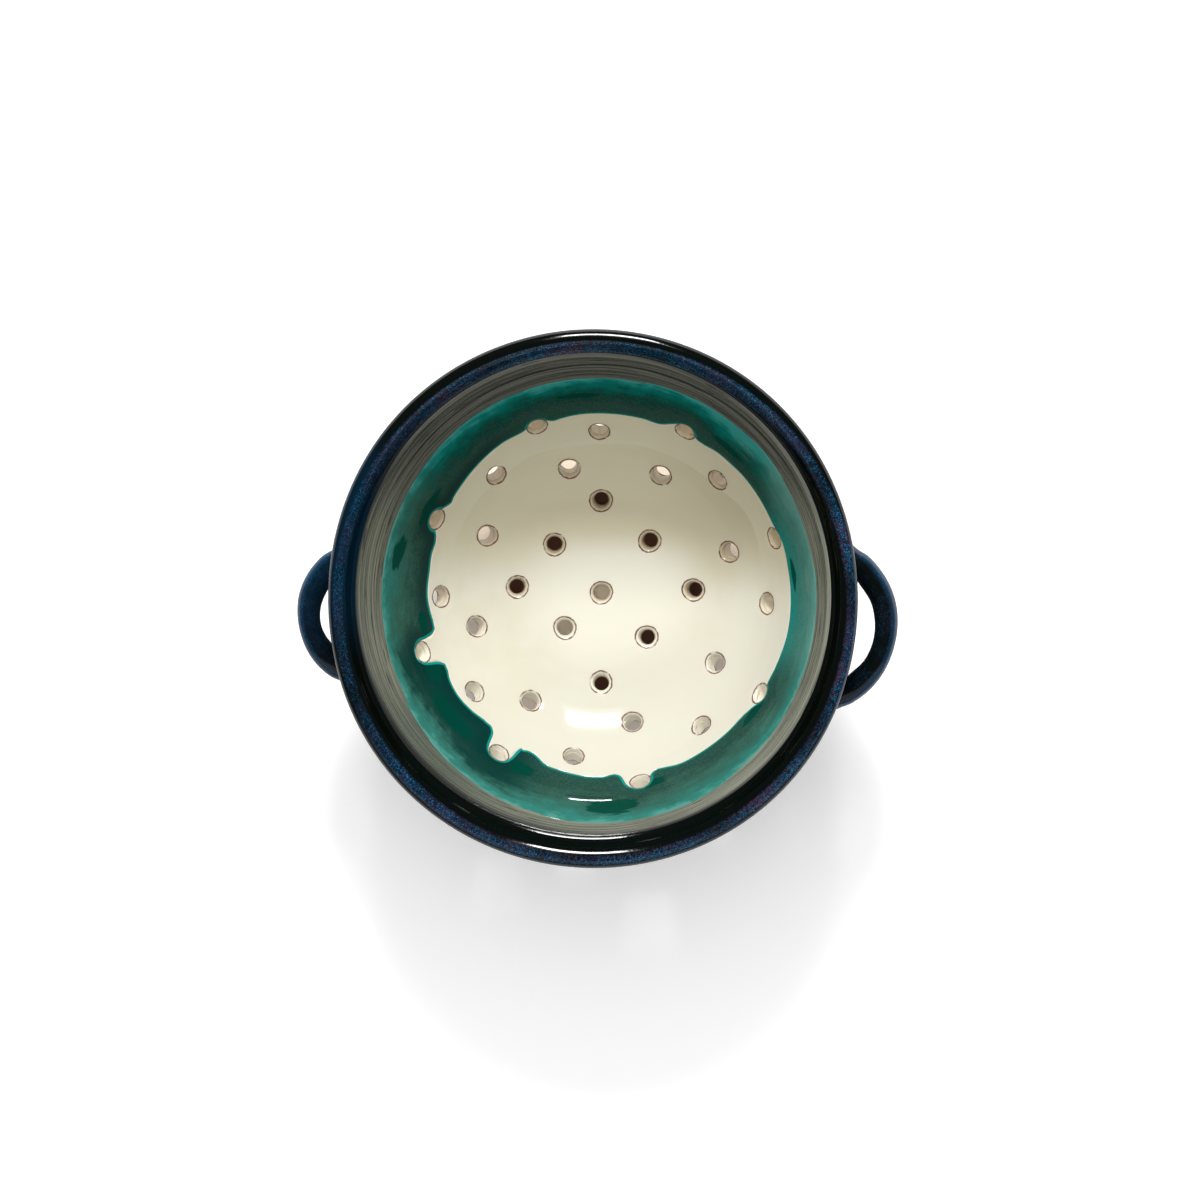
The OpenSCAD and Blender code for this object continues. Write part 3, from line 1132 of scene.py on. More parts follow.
def sleeve_tree() -> bpy.types.NodeTree:
    """Lines every drain hole with a tapered sleeve.

    Returns:
        The tree.
    """
    sketch = FormSketch("drain_hole_sleeves", "Hole Middles", {
        "Divisions": "Int", "Wall Share": "Float", "Taper": "Float", "Unevenness": "Float",
        "Seed": "Int"}, "Sleeves")
    given = sketch.given
    # The section of a unit sleeve: inside radius 1 at the top, and narrower below by the taper
    thick = given["Wall Share"]
    narrow = sketch.math("MULTIPLY", given["Taper"], -1.0)
    corners = [sketch.read("ShaderNodeCombineXYZ", {"X": x, "Y": y})
               for x, y in ((0.0, -0.5), (thick, -0.5), (narrow + thick, 0.5), (narrow, 0.5))]
    section = sketch.read("GeometryNodeCurvePrimitiveQuadrilateral", {
        f"Point {i + 1}": corner for i, corner in enumerate(corners)}, mode="POINTS")
    turn = sketch.read("FunctionNodeAlignRotationToVector",
                       {"Vector": sketch.named("axis", "FLOAT_VECTOR")}, axis="Z")
    bore = sketch.named("bore")
    scale = sketch.read("ShaderNodeCombineXYZ", {"X": bore, "Y": bore, "Z": sketch.named("reach")})
    lined = sketch.read("GeometryNodeInstanceOnPoints", {
        "Points": given["Hole Middles"], "Instance": sketch.swept(1.0, section),
        "Rotation": turn, "Scale": scale})
    whole = sketch.read("GeometryNodeRealizeInstances", {"Geometry": lined})
    centred = sketch.read("ShaderNodeVectorMath", {
        0: sketch.drift("Color", Scale=400.0), 1: (0.5, 0.5, 0.5)}, operation="SUBTRACT")
    return sketch.ended(whole, sketch.scaled(centred, given["Unevenness"]))


def run_tree(name: str, source: bpy.types.Mesh, tree: bpy.types.NodeTree,
             sizes: dict[str, object]) -> bpy.types.Mesh:
    """Runs a geometry node tree on a mesh.

    Args:
        name: Name for the result.
        source: Mesh that goes into the tree.
        tree: The node tree.
        sizes: Values of the tree's named inputs.

    Returns:
        The result as a plain mesh.
    """
    carrier = bpy.data.objects.new(name + "_carrier", source)
    bpy.context.scene.collection.objects.link(carrier)
    modifier = carrier.modifiers.new("tree", "NODES")
    modifier.node_group = tree
    for item in tree.interface.items_tree:
        if item.item_type == "SOCKET" and item.in_out == "INPUT" and item.name in sizes:
            modifier[item.identifier] = sizes[item.name]
    graph = bpy.context.evaluated_depsgraph_get()
    made = bpy.data.meshes.new_from_object(carrier.evaluated_get(graph))
    made.name = name
    carrier.modifiers.remove(modifier)
    bpy.data.objects.remove(carrier)
    return made


@dataclass
class TurnedForm:
    """A form turned about the bowl's axis from an outline of radius and height."""

    line: np.ndarray
    marked: np.ndarray
    closed: bool = False
    hub: float = 50.0
    ring_height: float = 0.0
    ring_pitch: float = 2.0
    drift: float = 0.0
    seed: int = 1

    def parts(self, name: str, finish: bpy.types.Material) -> MeshParts:
        """Turns the outline with the geometry node tree.

        Args:
            name: Name of the form.
            finish: Its material.

        Returns:
            The turned form, not yet warped, as parts that can be joined to others.
        """
        count = len(self.line)
        outline = bpy.data.meshes.new(name + "_outline")
        edges = [(i, i + 1) for i in range(count - 1)] + ([(count - 1, 0)] if self.closed else [])
        outline.from_pydata([((r - self.hub) * MM, -z * MM, 0.0) for r, z in self.line], edges, [])
        steps = np.linalg.norm(np.diff(self.line, axis=0), axis=1)
        mark_points(outline, {"station": np.cumsum([0.0, *steps]), "marked": self.marked})
        made = run_tree(name, outline, turning_tree(), {
            "Divisions": TURN_STEPS, "Hub Radius": self.hub * MM,
            "Ring Height": self.ring_height * MM, "Ring Pitch": self.ring_pitch,
            "Drift": self.drift, "Seed": self.seed, "Finish": finish})
        points = np.empty(len(made.vertices) * 3)
        made.vertices.foreach_get("co", points)
        faces = [tuple(face.vertices) for face in made.polygons]
        bpy.data.meshes.remove(made)
        return MeshParts(points.reshape(-1, 3) / MM, faces)


# Finishes
@dataclass(frozen=True)
class Tint:
    """A colour over part of a finish.

    Each span runs along X or Y, in metres, from where the tint is absent to where it is full.
    """

    colour: Input
    amount: float = 1.0
    x: Optional[Span] = None
    y: Optional[Span] = None


class ShaderSketch(NodeSketch):
    """One material and the few kinds of node that its finish needs."""

    def __init__(self, name: str) -> None:
        """Starts a material on the object's own coordinates."""
        self.material = bpy.data.materials.new(name)
        self.material.use_nodes = True
        super().__init__(self.material.node_tree)
        self.tree.nodes.clear()
        self.place = self.read("ShaderNodeTexCoord", output="Object")
        self.x, self.y, self.z = self.read_all("ShaderNodeSeparateXYZ", {0: self.place})

    def noise(self, scale: float, detail: float = 2.0, roughness: float = 0.5,
              vector: Optional[Signal] = None) -> Signal:
        """Noise on the object's own or on other coordinates, from 0 to 1."""
        return self.read("ShaderNodeTexNoise", {
            "Vector": vector or self.place, "Scale": scale, "Detail": detail,
            "Roughness": roughness}, "Fac")

    def value(self, name: str) -> Signal:
        """A named value of the mesh."""
        return self.read("ShaderNodeAttribute", output="Fac", attribute_name=name)

    def mix(self, share: Input, first: Input, second: Input) -> Signal:
        """Mix of two colours."""
        return self.read("ShaderNodeMix", {0: share, 6: first, 7: second}, 2, data_type="RGBA")

    def tinted(self, colour: Input, tint: Tint, within: Input = 1.0) -> Signal:
        """Lays a tint over a colour.

        Args:
            colour: The colour so far.
            tint: The tint.
            within: Share of the tint that each place takes, beside its spans.

        Returns:
            The tinted colour.
        """
        share = self.math("MULTIPLY", within, tint.amount)
        for axis, span in ((self.x, tint.x), (self.y, tint.y)):
            if span:
                share = share * axis.fade(*span)
        return self.mix(share, colour, tint.colour)

    def cells(self, scale: float) -> tuple[Signal, Signal, Signal]:
        """Distance from the middle of the nearest cell, and two random numbers of that cell."""
        cells = self.add("ShaderNodeTexVoronoi", {"Vector": self.place, "Scale": scale}).outputs
        first, second, _ = self.read_all("ShaderNodeSeparateColor", {0: cells["Color"]})
        return Signal(self, cells["Distance"]), first, second

    def specks(self, scale: float, size: float, share: float) -> Signal:
        """Small round specks in some cells of a grid.

        Args:
            scale: Cells to the metre.
            size: Radius of a speck as a share of a cell.
            share: Share of the cells that hold one.

        Returns:
            1 in a speck and 0 elsewhere.
        """
        distance, pick, _ = self.cells(scale)
        return pick.under(share) * (distance - pick / share * size).fade(0.0, -0.35 * size)

    def ramp(self, share: Input, stops: Sequence[tuple[float, Colour]]) -> Signal:
        """A colour that runs through stops.

        Args:
            share: Place on the ramp, from 0 to 1.
            stops: Place and colour of each stop.

        Returns:
            The colour.
        """
        node = self.add("ShaderNodeValToRGB", {0: share})
        points = node.color_ramp.elements
        while len(points) < len(stops):
            points.new(1.0)
        for point, (place, colour) in zip(points, stops):
            point.position, point.color = place, (*colour, 1.0)
        return Signal(self, node.outputs[0])

    def reach(self, middle: Span = (0.0, 0.0)) -> Signal:
        """Distance from an upright line through a point of the plan."""
        dx, dy = self.x - middle[0], self.y - middle[1]
        return self.math("SQRT", dx * dx + dy * dy)

    def wound(self, winding: float, rise: float = 1.3, upright: float = 0.35) -> Signal:
        """Coordinates wound round the axis, so that noise on them runs in streaks.

        Args:
            winding: Radius of the circle that stands for one turn; the smaller, the longer the
                streaks.
            rise: How fast the noise changes with the distance from the axis.
            upright: How fast it changes with the height.

        Returns:
            A vector.
        """
        turn = self.math("ARCTAN2", self.y, self.x)
        return self.read("ShaderNodeCombineXYZ", {
            "X": self.math("COSINE", turn) * winding, "Y": self.math("SINE", turn) * winding,
            "Z": self.reach() * rise + self.z * upright})

    def bump(self, height: Input, distance: float, strength: float = 1.0) -> Signal:
        """Normal of a surface that is raised by height times distance."""
        return self.read("ShaderNodeBump", {
            "Height": height, "Distance": distance, "Strength": strength})

    def ended(self, kind: str, inputs: dict[str, Input]) -> bpy.types.Material:
        """The material, ended in one surface shader."""
        self.add("ShaderNodeOutputMaterial", {0: self.read("ShaderNodeBsdf" + kind, inputs)})
        return self.material

    def glaze(self, colour: Input, gloss: float, roughness: float,
              normal: Signal) -> bpy.types.Material:
        """Ends the material in a glaze: colour under a clear glassy coat.

        Args:
            colour: Colour of the glaze.
            gloss: How much the coat mirrors, from 0 to 1.
            roughness: Roughness of the coat.
            normal: Bumped normal, of the colour and of the coat.

        Returns:
            The material.
        """
        return self.ended("Principled", {
            "Base Color": colour, "Roughness": 0.6, "Normal": normal, "Specular IOR Level": 0.0,
            "Coat Weight": gloss, "Coat Roughness": roughness, "Coat Normal": normal})


@dataclass(frozen=True)
class CreamGlaze:
    """Glossy cream liner that breaks to red-brown at the hole edges."""

    body: Colour = (0.690, 0.662, 0.550)
    warm: Colour = (0.660, 0.620, 0.485)
    # Painted shade: the liner is darker and warmer to the north and north-east, where the rim
    # shades it; painted light makes it palest on the floor
    north: Tint = Tint((0.635, 0.575, 0.405), 0.92, y=(-0.002, 0.024))
    north_east_shade: Tint = Tint((0.545, 0.480, 0.330), 0.8, x=(0.010, 0.045), y=(-0.005, 0.028))
    floor: Tint = Tint((0.755, 0.725, 0.610), y=(0.022, 0.011))
    floor_light_middle: Span = (0.004, -0.002)
    floor_light_edge: Span = (0.036, 0.012)
    # Painted shade: a darker south slope, which tempers the window light falling there
    south: Tint = Tint((0.625, 0.602, 0.505), 0.9)
    shade_slant: float = 0.3
    south_shade_edge: Span = (-0.010, -0.042)
    # Painted reflection: beyond a faint wavy line round a middle of its own, the north slope is
    # paler, as it mirrors the lit south wall
    painted_reflection: Tint = Tint((0.72, 0.67, 0.52), 0.45, y=(0.006, 0.022))
    reflection_middle: Span = (0.0015, 0.0)
    reflection_edge: Span = (0.0500, 0.0505)
    reflection_wave: float = 0.008
    speck: Colour = (0.33, 0.24, 0.15)
    # Glaze inside the holes, with painted shade in the northern ones and painted light in the
    # southern ones, and the line round them where clay shows, by millimetres
    throat_shaded: Colour = (0.60, 0.50, 0.34)
    throat_lit: Colour = (0.84, 0.79, 0.66)
    throat_edge: Span = (0.1, -0.8)
    break_line: Colour = (0.16, 0.065, 0.05)
    break_edge: Span = (0.36, 0.10)
    break_wave: float = 0.5

    def material(self) -> bpy.types.Material:
        """Makes the finish.

        Returns:
            The material.
        """
        sketch = ShaderSketch("cream_liner_glaze")
        x, y = sketch.x, sketch.y
        colour = sketch.mix(sketch.noise(55.0, 4.0).fade(0.35, 0.7), self.body, self.warm)
        # Painted shade to the north and north-east, and painted light on the floor
        colour = sketch.tinted(sketch.tinted(colour, self.north), self.north_east_shade)
        floor_light_share = sketch.reach(self.floor_light_middle).fade(*self.floor_light_edge)
        colour = sketch.tinted(colour, self.floor, floor_light_share)
        # Painted shade on the south slope
        south_shade_share = (y - x * self.shade_slant).fade(*self.south_shade_edge)
        colour = sketch.tinted(colour, self.south, south_shade_share)
        # Painted reflection of the lit south wall on the north slope
        wavy = sketch.reach(self.reflection_middle) + sketch.noise(28.0, 1.0).centred(self.reflection_wave)
        colour = sketch.tinted(colour, self.painted_reflection, wavy.fade(*self.reflection_edge))
        colour = sketch.mix(sketch.specks(170.0, 0.045, 0.25) * 0.6, colour, self.speck)
        gap = sketch.value("edge_gap")
        # Painted shade in the northern throats and painted light in the southern ones
        throat = sketch.mix(y.fade(0.010, -0.020), self.throat_shaded, self.throat_lit)
        colour = sketch.mix(gap.fade(*self.throat_edge), colour, throat)
        ragged = abs(gap + sketch.noise(900.0, 3.0).centred(self.break_wave))
        broken = ragged.fade(*self.break_edge) * sketch.noise(330.0).fade(0.22, 0.5)
        colour = sketch.mix(broken, colour, self.break_line)
        return sketch.glaze(colour, 0.8, 0.07, sketch.bump(sketch.noise(420.0), 0.00004, 0.4))


@dataclass(frozen=True)
class TealGlaze:
    """Poured copper-green glaze: bright where it is thin, near black where it gathers thick, with
    painted shade, painted light and painted dark reflections.
    """

    thin: Colour = (0.006, 0.26, 0.22)
    thin_edge: Span = (1.25, 0.7)
    grey: Tint = Tint((0.060, 0.085, 0.062), 0.6)
    # Patch colour: for the dark grain of the glaze and for the painted dark reflections
    patch: Colour = (0.0002, 0.048, 0.032)
    grain_amount: float = 0.45
    dark_reflection_amount: float = 0.9
    pooled: Tint = Tint((0.010, 0.030, 0.027), 0.8, x=(-0.018, -0.038))
    pooled_edge: Span = (7.5, 2.5)
    deep: Tint = Tint((0.001, 0.034, 0.029), 0.85, x=(-0.012, -0.030), y=(-0.008, -0.024))
    # From the cream up to the olive glaze, for most of the band, for its north in painted shade and
    # for its east in painted light
    most: tuple[tuple[float, Colour], ...] = (
        (0.0, (0.016, 0.072, 0.056)), (0.25, (0.018, 0.060, 0.046)),
        (0.5, (0.032, 0.104, 0.078)), (0.74, (0.030, 0.140, 0.112)),
        (0.9, (0.030, 0.185, 0.152)), (1.0, (0.075, 0.25, 0.215)))
    north_shade_ramp: tuple[tuple[float, Colour], ...] = (
        (0.0, (0.020, 0.080, 0.062)), (0.28, (0.022, 0.064, 0.050)),
        (0.45, (0.004, 0.056, 0.043)), (0.62, (0.001, 0.090, 0.072)),
        (0.84, (0.002, 0.175, 0.152)), (1.0, (0.035, 0.29, 0.265)))
    east_light_ramp: tuple[tuple[float, Colour], ...] = (
        (0.0, (0.006, 0.23, 0.20)), (0.3, (0.038, 0.205, 0.172)),
        (0.6, (0.072, 0.225, 0.188)), (1.0, (0.11, 0.29, 0.25)))
    north_shade_span: Span = (0.026, 0.046)
    east_light_x: Span = (0.050, 0.060)
    east_light_y: Span = (-0.030, -0.012)
    # Towards the north-east its colours run further up the ramp, which lightens the painted shade
    # there
    corner_x: Span = (0.026, 0.044)
    corner_y: Span = (0.018, 0.036)
    corner_lift: float = 0.20
    # A raised run on the south side, about a middle along X
    run_reach: float = 0.0640
    run_half_width: float = 0.0008
    run_middle: float = -0.0020
    run_half_length: float = 0.0100
    run_height: float = 0.0010
    ripple_height: float = 0.000016

    def run(self, sketch: ShaderSketch) -> Signal:
        """The raised run: 1 on its crest and 0 beside it."""
        off = abs(sketch.reach() - self.run_reach).fade(self.run_half_width, 0.0)
        along = abs(sketch.x - self.run_middle)
        south = along.fade(self.run_half_length, 0.6 * self.run_half_length)
        return off * south * sketch.y.under(0.0)

    def material(self) -> bpy.types.Material:
        """Makes the finish.

        Returns:
            The material.
        """
        sketch = ShaderSketch("teal_band_glaze")
        x, y = sketch.x, sketch.y
        edge, crest = sketch.value("edge_gap"), sketch.value("crest_gap")
        clouds = sketch.noise(190.0, 4.0, 0.6).centred(0.50)
        streaks = sketch.noise(700.0, 3.0, 0.6, sketch.wound(0.009, 0.9))
        corner = x.fade(*self.corner_x) * y.fade(*self.corner_y) * self.corner_lift
        share = edge / (edge + crest + 0.01) + clouds + streaks.centred(0.44) + corner
        # Painted shade on the north of the band, painted light on its east
        colour = sketch.mix((y + clouds * 0.04).fade(*self.north_shade_span),
                            sketch.ramp(share, self.most), sketch.ramp(share, self.north_shade_ramp))
        east = Tint(sketch.ramp(share, self.east_light_ramp), x=self.east_light_x, y=self.east_light_y)
        colour = sketch.tinted(colour, east)
        grain, inner = sketch.noise(1700.0, 3.0, 0.75), share.fade(0.95, 0.35)
        colour = sketch.tinted(colour, self.grey, grain.fade(0.50, 0.66) * inner)
        dark_grain = grain.fade(0.50, 0.34) * inner * self.grain_amount
        colour = sketch.mix(dark_grain, colour, self.patch)
        colour = sketch.tinted(colour, self.pooled, edge.fade(*self.pooled_edge))
        colour = sketch.tinted(colour, self.deep, share.fade(0.80, 0.50))
        # Painted dark reflections, from the patch value of the mesh
        dark_reflection = (sketch.value("patch") + streaks.centred(0.9)).fade(0.50, 0.62)
        colour = sketch.mix(dark_reflection * self.dark_reflection_amount, colour, self.patch)
        colour = sketch.mix(edge.fade(*self.thin_edge), colour, self.thin)
        ripples = sketch.noise(380.0) * (self.ripple_height / self.run_height)
        bump = sketch.bump(ripples + self.run(sketch), self.run_height)
        return sketch.glaze(colour, 0.8, 0.06, bump)


@dataclass(frozen=True)
class OliveGlaze:
    """Satin olive-grey glaze, streaked round the wheel."""

    # Painted light: the olive is paler to the south, where the window light falls, brighter still
    # to the south-east and darker to the south-west
    painted_light_olive: Colour = (0.215, 0.220, 0.172)
    lit_south_east: Tint = Tint((0.275, 0.282, 0.222), x=(0.015, 0.045), y=(-0.018, -0.045))
    shaded_south_west: Tint = Tint((0.120, 0.138, 0.108), x=(-0.018, -0.045), y=(-0.018, -0.045))
    dull: Colour = (0.135, 0.138, 0.115)
    dark: Colour = (0.062, 0.064, 0.054)
    # The streak colour serves real streaks and lines, and painted shade towards the cove
    streak: Colour = (0.012, 0.014, 0.014)
    # Middle of the cove; the radii over which the painted light of the south side fades out, and
    # over which painted shade darkens it most towards the cove
    middle: Span = (0.0008, 0.0011)
    painted_light_radii: Span = (0.0716, 0.0737)
    painted_shade_radii: Span = (0.0724, 0.0741)
    # A dark line to the north: its radius, and its half width from edge to core
    line_radius: float = 0.0709
    line_width: Span = (0.00032, 0.00012)

    def material(self) -> bpy.types.Material:
        """Makes the finish.

        Returns:
            The material.
        """
        sketch = ShaderSketch("olive_band_glaze")
        y, reach = sketch.y, sketch.reach(self.middle)
        broad = sketch.noise(900.0, 3.0, 0.6, sketch.wound(0.0014))
        fine = sketch.noise(2400.0, 4.0, 0.65, sketch.wound(0.0010))
        # Painted light on the south side
        inner = y.fade(0.050, 0.018) * reach.fade(*self.painted_light_radii[::-1])
        painted_light_olive = sketch.tinted(sketch.tinted(self.painted_light_olive, self.lit_south_east), self.shaded_south_west)
        light = sketch.mix(inner, self.dull, painted_light_olive)
        colour = sketch.mix(broad.fade(0.46, 0.60) * (0.9 - inner * 0.55), light, self.dark)
        colour = sketch.mix(fine.fade(0.50, 0.60) * 0.55, colour, self.dark)
        # Painted shade towards the cove on the south side
        outer = y.fade(0.062, 0.034) * reach.fade(*self.painted_shade_radii)
        colour = sketch.mix(outer * 0.92, colour, self.streak)
        line = abs(reach - self.line_radius).fade(*self.line_width) * y.fade(0.030, 0.050)
        brushed = sketch.noise(1500.0, 3.0, 0.5, sketch.wound(0.0032)).fade(0.63, 0.70)
        colour = sketch.mix(sketch.math("MAXIMUM", line, brushed) * 0.85, colour, self.streak)
        return sketch.glaze(colour, 0.9, 0.10, sketch.bump(fine, 0.00008, 0.8))


@dataclass(frozen=True)
class BlueGlaze:
    """Midnight-blue glaze with blue, turquoise and rust specks, black in the cove, with painted
    light and shade on the rim and a painted sheen on the handles.
    """

    deep: Colour = (0.0016, 0.0034, 0.0075)
    navy: Colour = (0.0032, 0.0100, 0.0230)
    azure: Colour = (0.007, 0.052, 0.110)
    bright: Colour = (0.012, 0.150, 0.280)
    purple: Colour = (0.0220, 0.0150, 0.0420)
    rust: Colour = (0.105, 0.026, 0.022)
    black: Colour = (0.0012, 0.0022, 0.0016)
    west: Tint = Tint((0.0006, 0.0085, 0.0180), x=(-0.060, -0.071), y=(-0.022, 0.002))
    # Painted sheen along the handles' outer edge
    painted_sheen: Colour = (0.012, 0.050, 0.110)
    # Middle and bend radius of the left and the right handle, and where they leave the rim
    loops: tuple[tuple[Span, float], ...] = (
        ((-0.0687, -0.0048), 0.0206), ((0.0653, -0.0078), 0.0250))
    loops_from: Span = (0.0745, 0.0765)
    loop_edge: Span = (0.0006, 0.0026)
    # The speckled ring on the rim: its middle, radius and half width; the rim is black beside it.
    # The specks are the glaze's own, but the ring sits south of the middle so they show on faces
    # turned south, and the wide black falls on faces turned north: painted light and painted shade
    ring_middle: Span = (0.0006, -0.0014)
    ring_radius: float = 0.0784
    ring_half: Span = (0.0020, 0.0010)
    ring_wave: float = 0.0010
    rim_above: Span = (0.0690, 0.0700)

    def on_loops(self, sketch: ShaderSketch, below_rim: Signal,
                 ragged: Signal) -> tuple[Signal, Signal]:
        """The handles, with a painted blue sheen along their outer edge.

        Args:
            sketch: The material.
            below_rim: 1 below the rim.
            ragged: Unevenness of the edge.

        Returns:
            The part of the handles that takes the painted sheen, and the rest of them.
        """
        (left_middle, left_bend), (right_middle, right_bend) = self.loops
        left = sketch.reach(left_middle) - left_bend - sketch.x.over(0.0)
        right = sketch.reach(right_middle) - right_bend - sketch.x.under(0.0)
        edge = (sketch.math("MAXIMUM", left, right) + ragged).fade(*self.loop_edge)
        on_loop = abs(sketch.x).fade(*self.loops_from) * below_rim
        return on_loop * edge, on_loop * (1.0 - edge)

    def material(self) -> bpy.types.Material:
        """Makes the finish.

        Returns:
            The material.
        """
        sketch = ShaderSketch("midnight_blue_glaze")
        x, y = sketch.x, sketch.y
        on_rim = sketch.z.fade(*self.rim_above)
        # Painted light and shade: the ring of specks is set off-centre to the south
        off = sketch.reach(self.ring_middle) - self.ring_radius
        ragged = sketch.noise(900.0, 4.0, 0.7).centred(self.ring_wave)
        outer, bare = self.on_loops(sketch, 1.0 - on_rim, ragged)
        # How thickly the specks lie: thick on the ring, in clouds below the rim
        sparse = sketch.noise(42.0).fade(0.36, 0.60) * 0.65 + 0.35
        sparse = sparse * (1.0 - x.fade(-0.050, -0.070) * 0.6) + y.fade(0.050, 0.068) * 0.25
        ring = abs(off + ragged).fade(*self.ring_half) * sparse
        clouds = sketch.noise(170.0, 3.0, 0.6).fade(0.36, 0.66)
        below = (1.0 - on_rim) * (clouds * 0.5 + 0.08) * (1.0 - bare * 0.80)
        thick = on_rim * ring + below
        _, pick, second = sketch.cells(3300.0)
        fine = (sketch.noise(4000.0) * 0.8 + pick * 0.6).fade(0.64, 0.90)
        ground = sketch.mix(thick, sketch.tinted(self.black, self.west),
                            sketch.mix(clouds, self.deep, self.navy))
        # To the south and east the ring's inner half is rusty instead of blue
        inner = off.fade(0.0005, -0.0010) * (x - y).fade(0.0, 0.05)
        blues = thick * (1.0 - inner * 0.6)
        colour = sketch.mix(fine * blues, ground, self.azure)
        # Painted sheen on the handles' outer edge
        colour = sketch.mix(outer * 0.5, colour, self.painted_sheen)
        hue = sketch.noise(75.0).fade(0.48, 0.60)
        colour = sketch.mix(hue * thick * 0.5, colour, self.purple)
        colour = sketch.mix(second.over(0.91) * blues * 0.8, colour, self.bright)
        rusty = sketch.math("MAXIMUM", inner, sketch.noise(60.0).fade(0.54, 0.68))
        colour = sketch.mix(second.under(0.20) * rusty * thick * 0.6, colour, self.rust)
        return sketch.glaze(colour, 0.9, 0.07, sketch.bump(sketch.noise(900.0), 0.00002, 0.4))


@dataclass(frozen=True)
class BareStoneware:
    """Fired clay without glaze: matte, warm and grogged, with turning marks."""

    body: Colour = (0.42, 0.26, 0.17)
    toasted: Colour = (0.28, 0.145, 0.085)
    grog: Colour = (0.62, 0.50, 0.38)
    iron: Colour = (0.07, 0.035, 0.022)
    mark_pitch: float = 0.0011
    roughness: float = 0.82

    def material(self) -> bpy.types.Material:
        """Makes the finish.

        Returns:
            The material.
        """
        sketch = ShaderSketch("bare_stoneware")
        colour = sketch.mix(sketch.noise(70.0, 4.0).fade(0.35, 0.7), self.body, self.toasted)
        colour = sketch.mix(sketch.specks(900.0, 0.3, 0.22) * 0.7, colour, self.grog)
        colour = sketch.mix(sketch.specks(520.0, 0.2, 0.10) * 0.9, colour, self.iron)
        marks = sketch.math("SINE", sketch.reach() * (2.0 * math.pi / self.mark_pitch))
        grain = sketch.bump(sketch.noise(1300.0, 4.0) * 1.6 + marks * 0.35, 0.0001, 0.8)
        return sketch.ended("Principled", {
            "Base Color": colour, "Roughness": self.roughness, "Normal": grain})


@dataclass(frozen=True)
class StudioPaper:
    """Pale paper under the bowl. Seen straight by the camera it is white where it is lit."""

    seen: float = 1.18
    lit: float = 0.72
    # Painted shade: inside the foot ring the paper is painted in the brown of the clay above it
    shade_under_foot: Colour = (0.55, 0.27, 0.17)
    shade_under_foot_radii: Span = (0.035, 0.034)
    # Outside it, but still under the belly, the paper is painted warm for the camera: painted shade
    # to the north and painted warm light to the south
    beside_north_shade: Colour = (0.90, 0.79, 0.63)
    beside_south_warm_light: Colour = (1.20, 1.10, 0.95)
    beside_painted_radii: Span = (0.078, 0.044)
    # Two painted spots of light, where light would come through two holes
    painted_light_spots: tuple[Span, ...] = ((-0.0006, -0.0005), (-0.0122, -0.0110))
    painted_spot_colour: Colour = (4.4, 3.8, 2.8)
    painted_spot_radii: Span = (0.0045, 0.0035)

    def material(self) -> bpy.types.Material:
        """Makes the finish.

        Returns:
            The material.
        """
        sketch = ShaderSketch("studio_paper")
        camera = sketch.read("ShaderNodeLightPath", output="Is Camera Ray")
        level = camera * (self.seen - self.lit) + self.lit
        colour = sketch.read("ShaderNodeCombineColor", {0: level, 1: level, 2: level})
        reach = sketch.reach()
        # Painted shade to the north and painted warm light to the south, under the belly
        tint = sketch.mix(sketch.y.fade(0.015, -0.020), self.beside_north_shade, self.beside_south_warm_light)
        colour = sketch.mix(reach.fade(*self.beside_painted_radii) * camera, colour, tint)
        # Painted shade inside the foot ring
        colour = sketch.mix(reach.fade(*self.shade_under_foot_radii), colour, self.shade_under_foot)
        # Painted pools of light under two holes
        for spot in self.painted_light_spots:
            lit = sketch.reach(spot).fade(*self.painted_spot_radii) * camera
            colour = sketch.mix(lit, colour, self.painted_spot_colour)
        return sketch.ended("Diffuse", {"Color": colour})


# Pieces
def place_piece(name: str, mesh: bpy.types.Mesh, finish: bpy.types.Material, slot: str,
                *nodes: str) -> bpy.types.Object:
    """Puts a finished mesh into the scene as a piece of the bowl.

    Args:
        name: Name of the piece.
        mesh: Its mesh, in metres and in place.
        finish: Its material.
        slot: The record's material slot; not used.
        nodes: CAD nodes that it stands for.

    Returns:
        The object.
    """
    piece = bpy.data.objects.new(name, mesh)
    bpy.context.scene.collection.objects.link(piece)
    mesh.materials.clear()
    mesh.materials.append(finish)
    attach(piece, BODY)
    if nodes:
        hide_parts(*nodes)
    log.info("%s: %d faces", name, len(mesh.polygons))
    return piece


def thicken(piece: bpy.types.Object, thickness: float) -> None:
    """Gives a glaze skin its thickness, into the wall behind it.

    Args:
        piece: The skin.
        thickness: Its thickness.
    """
    shell = piece.modifiers.new("coat", "SOLIDIFY")
    shell.thickness = thickness * MM
    shell.offset = -1.0
    shell.use_rim = True
    shell.use_quality_normals = True


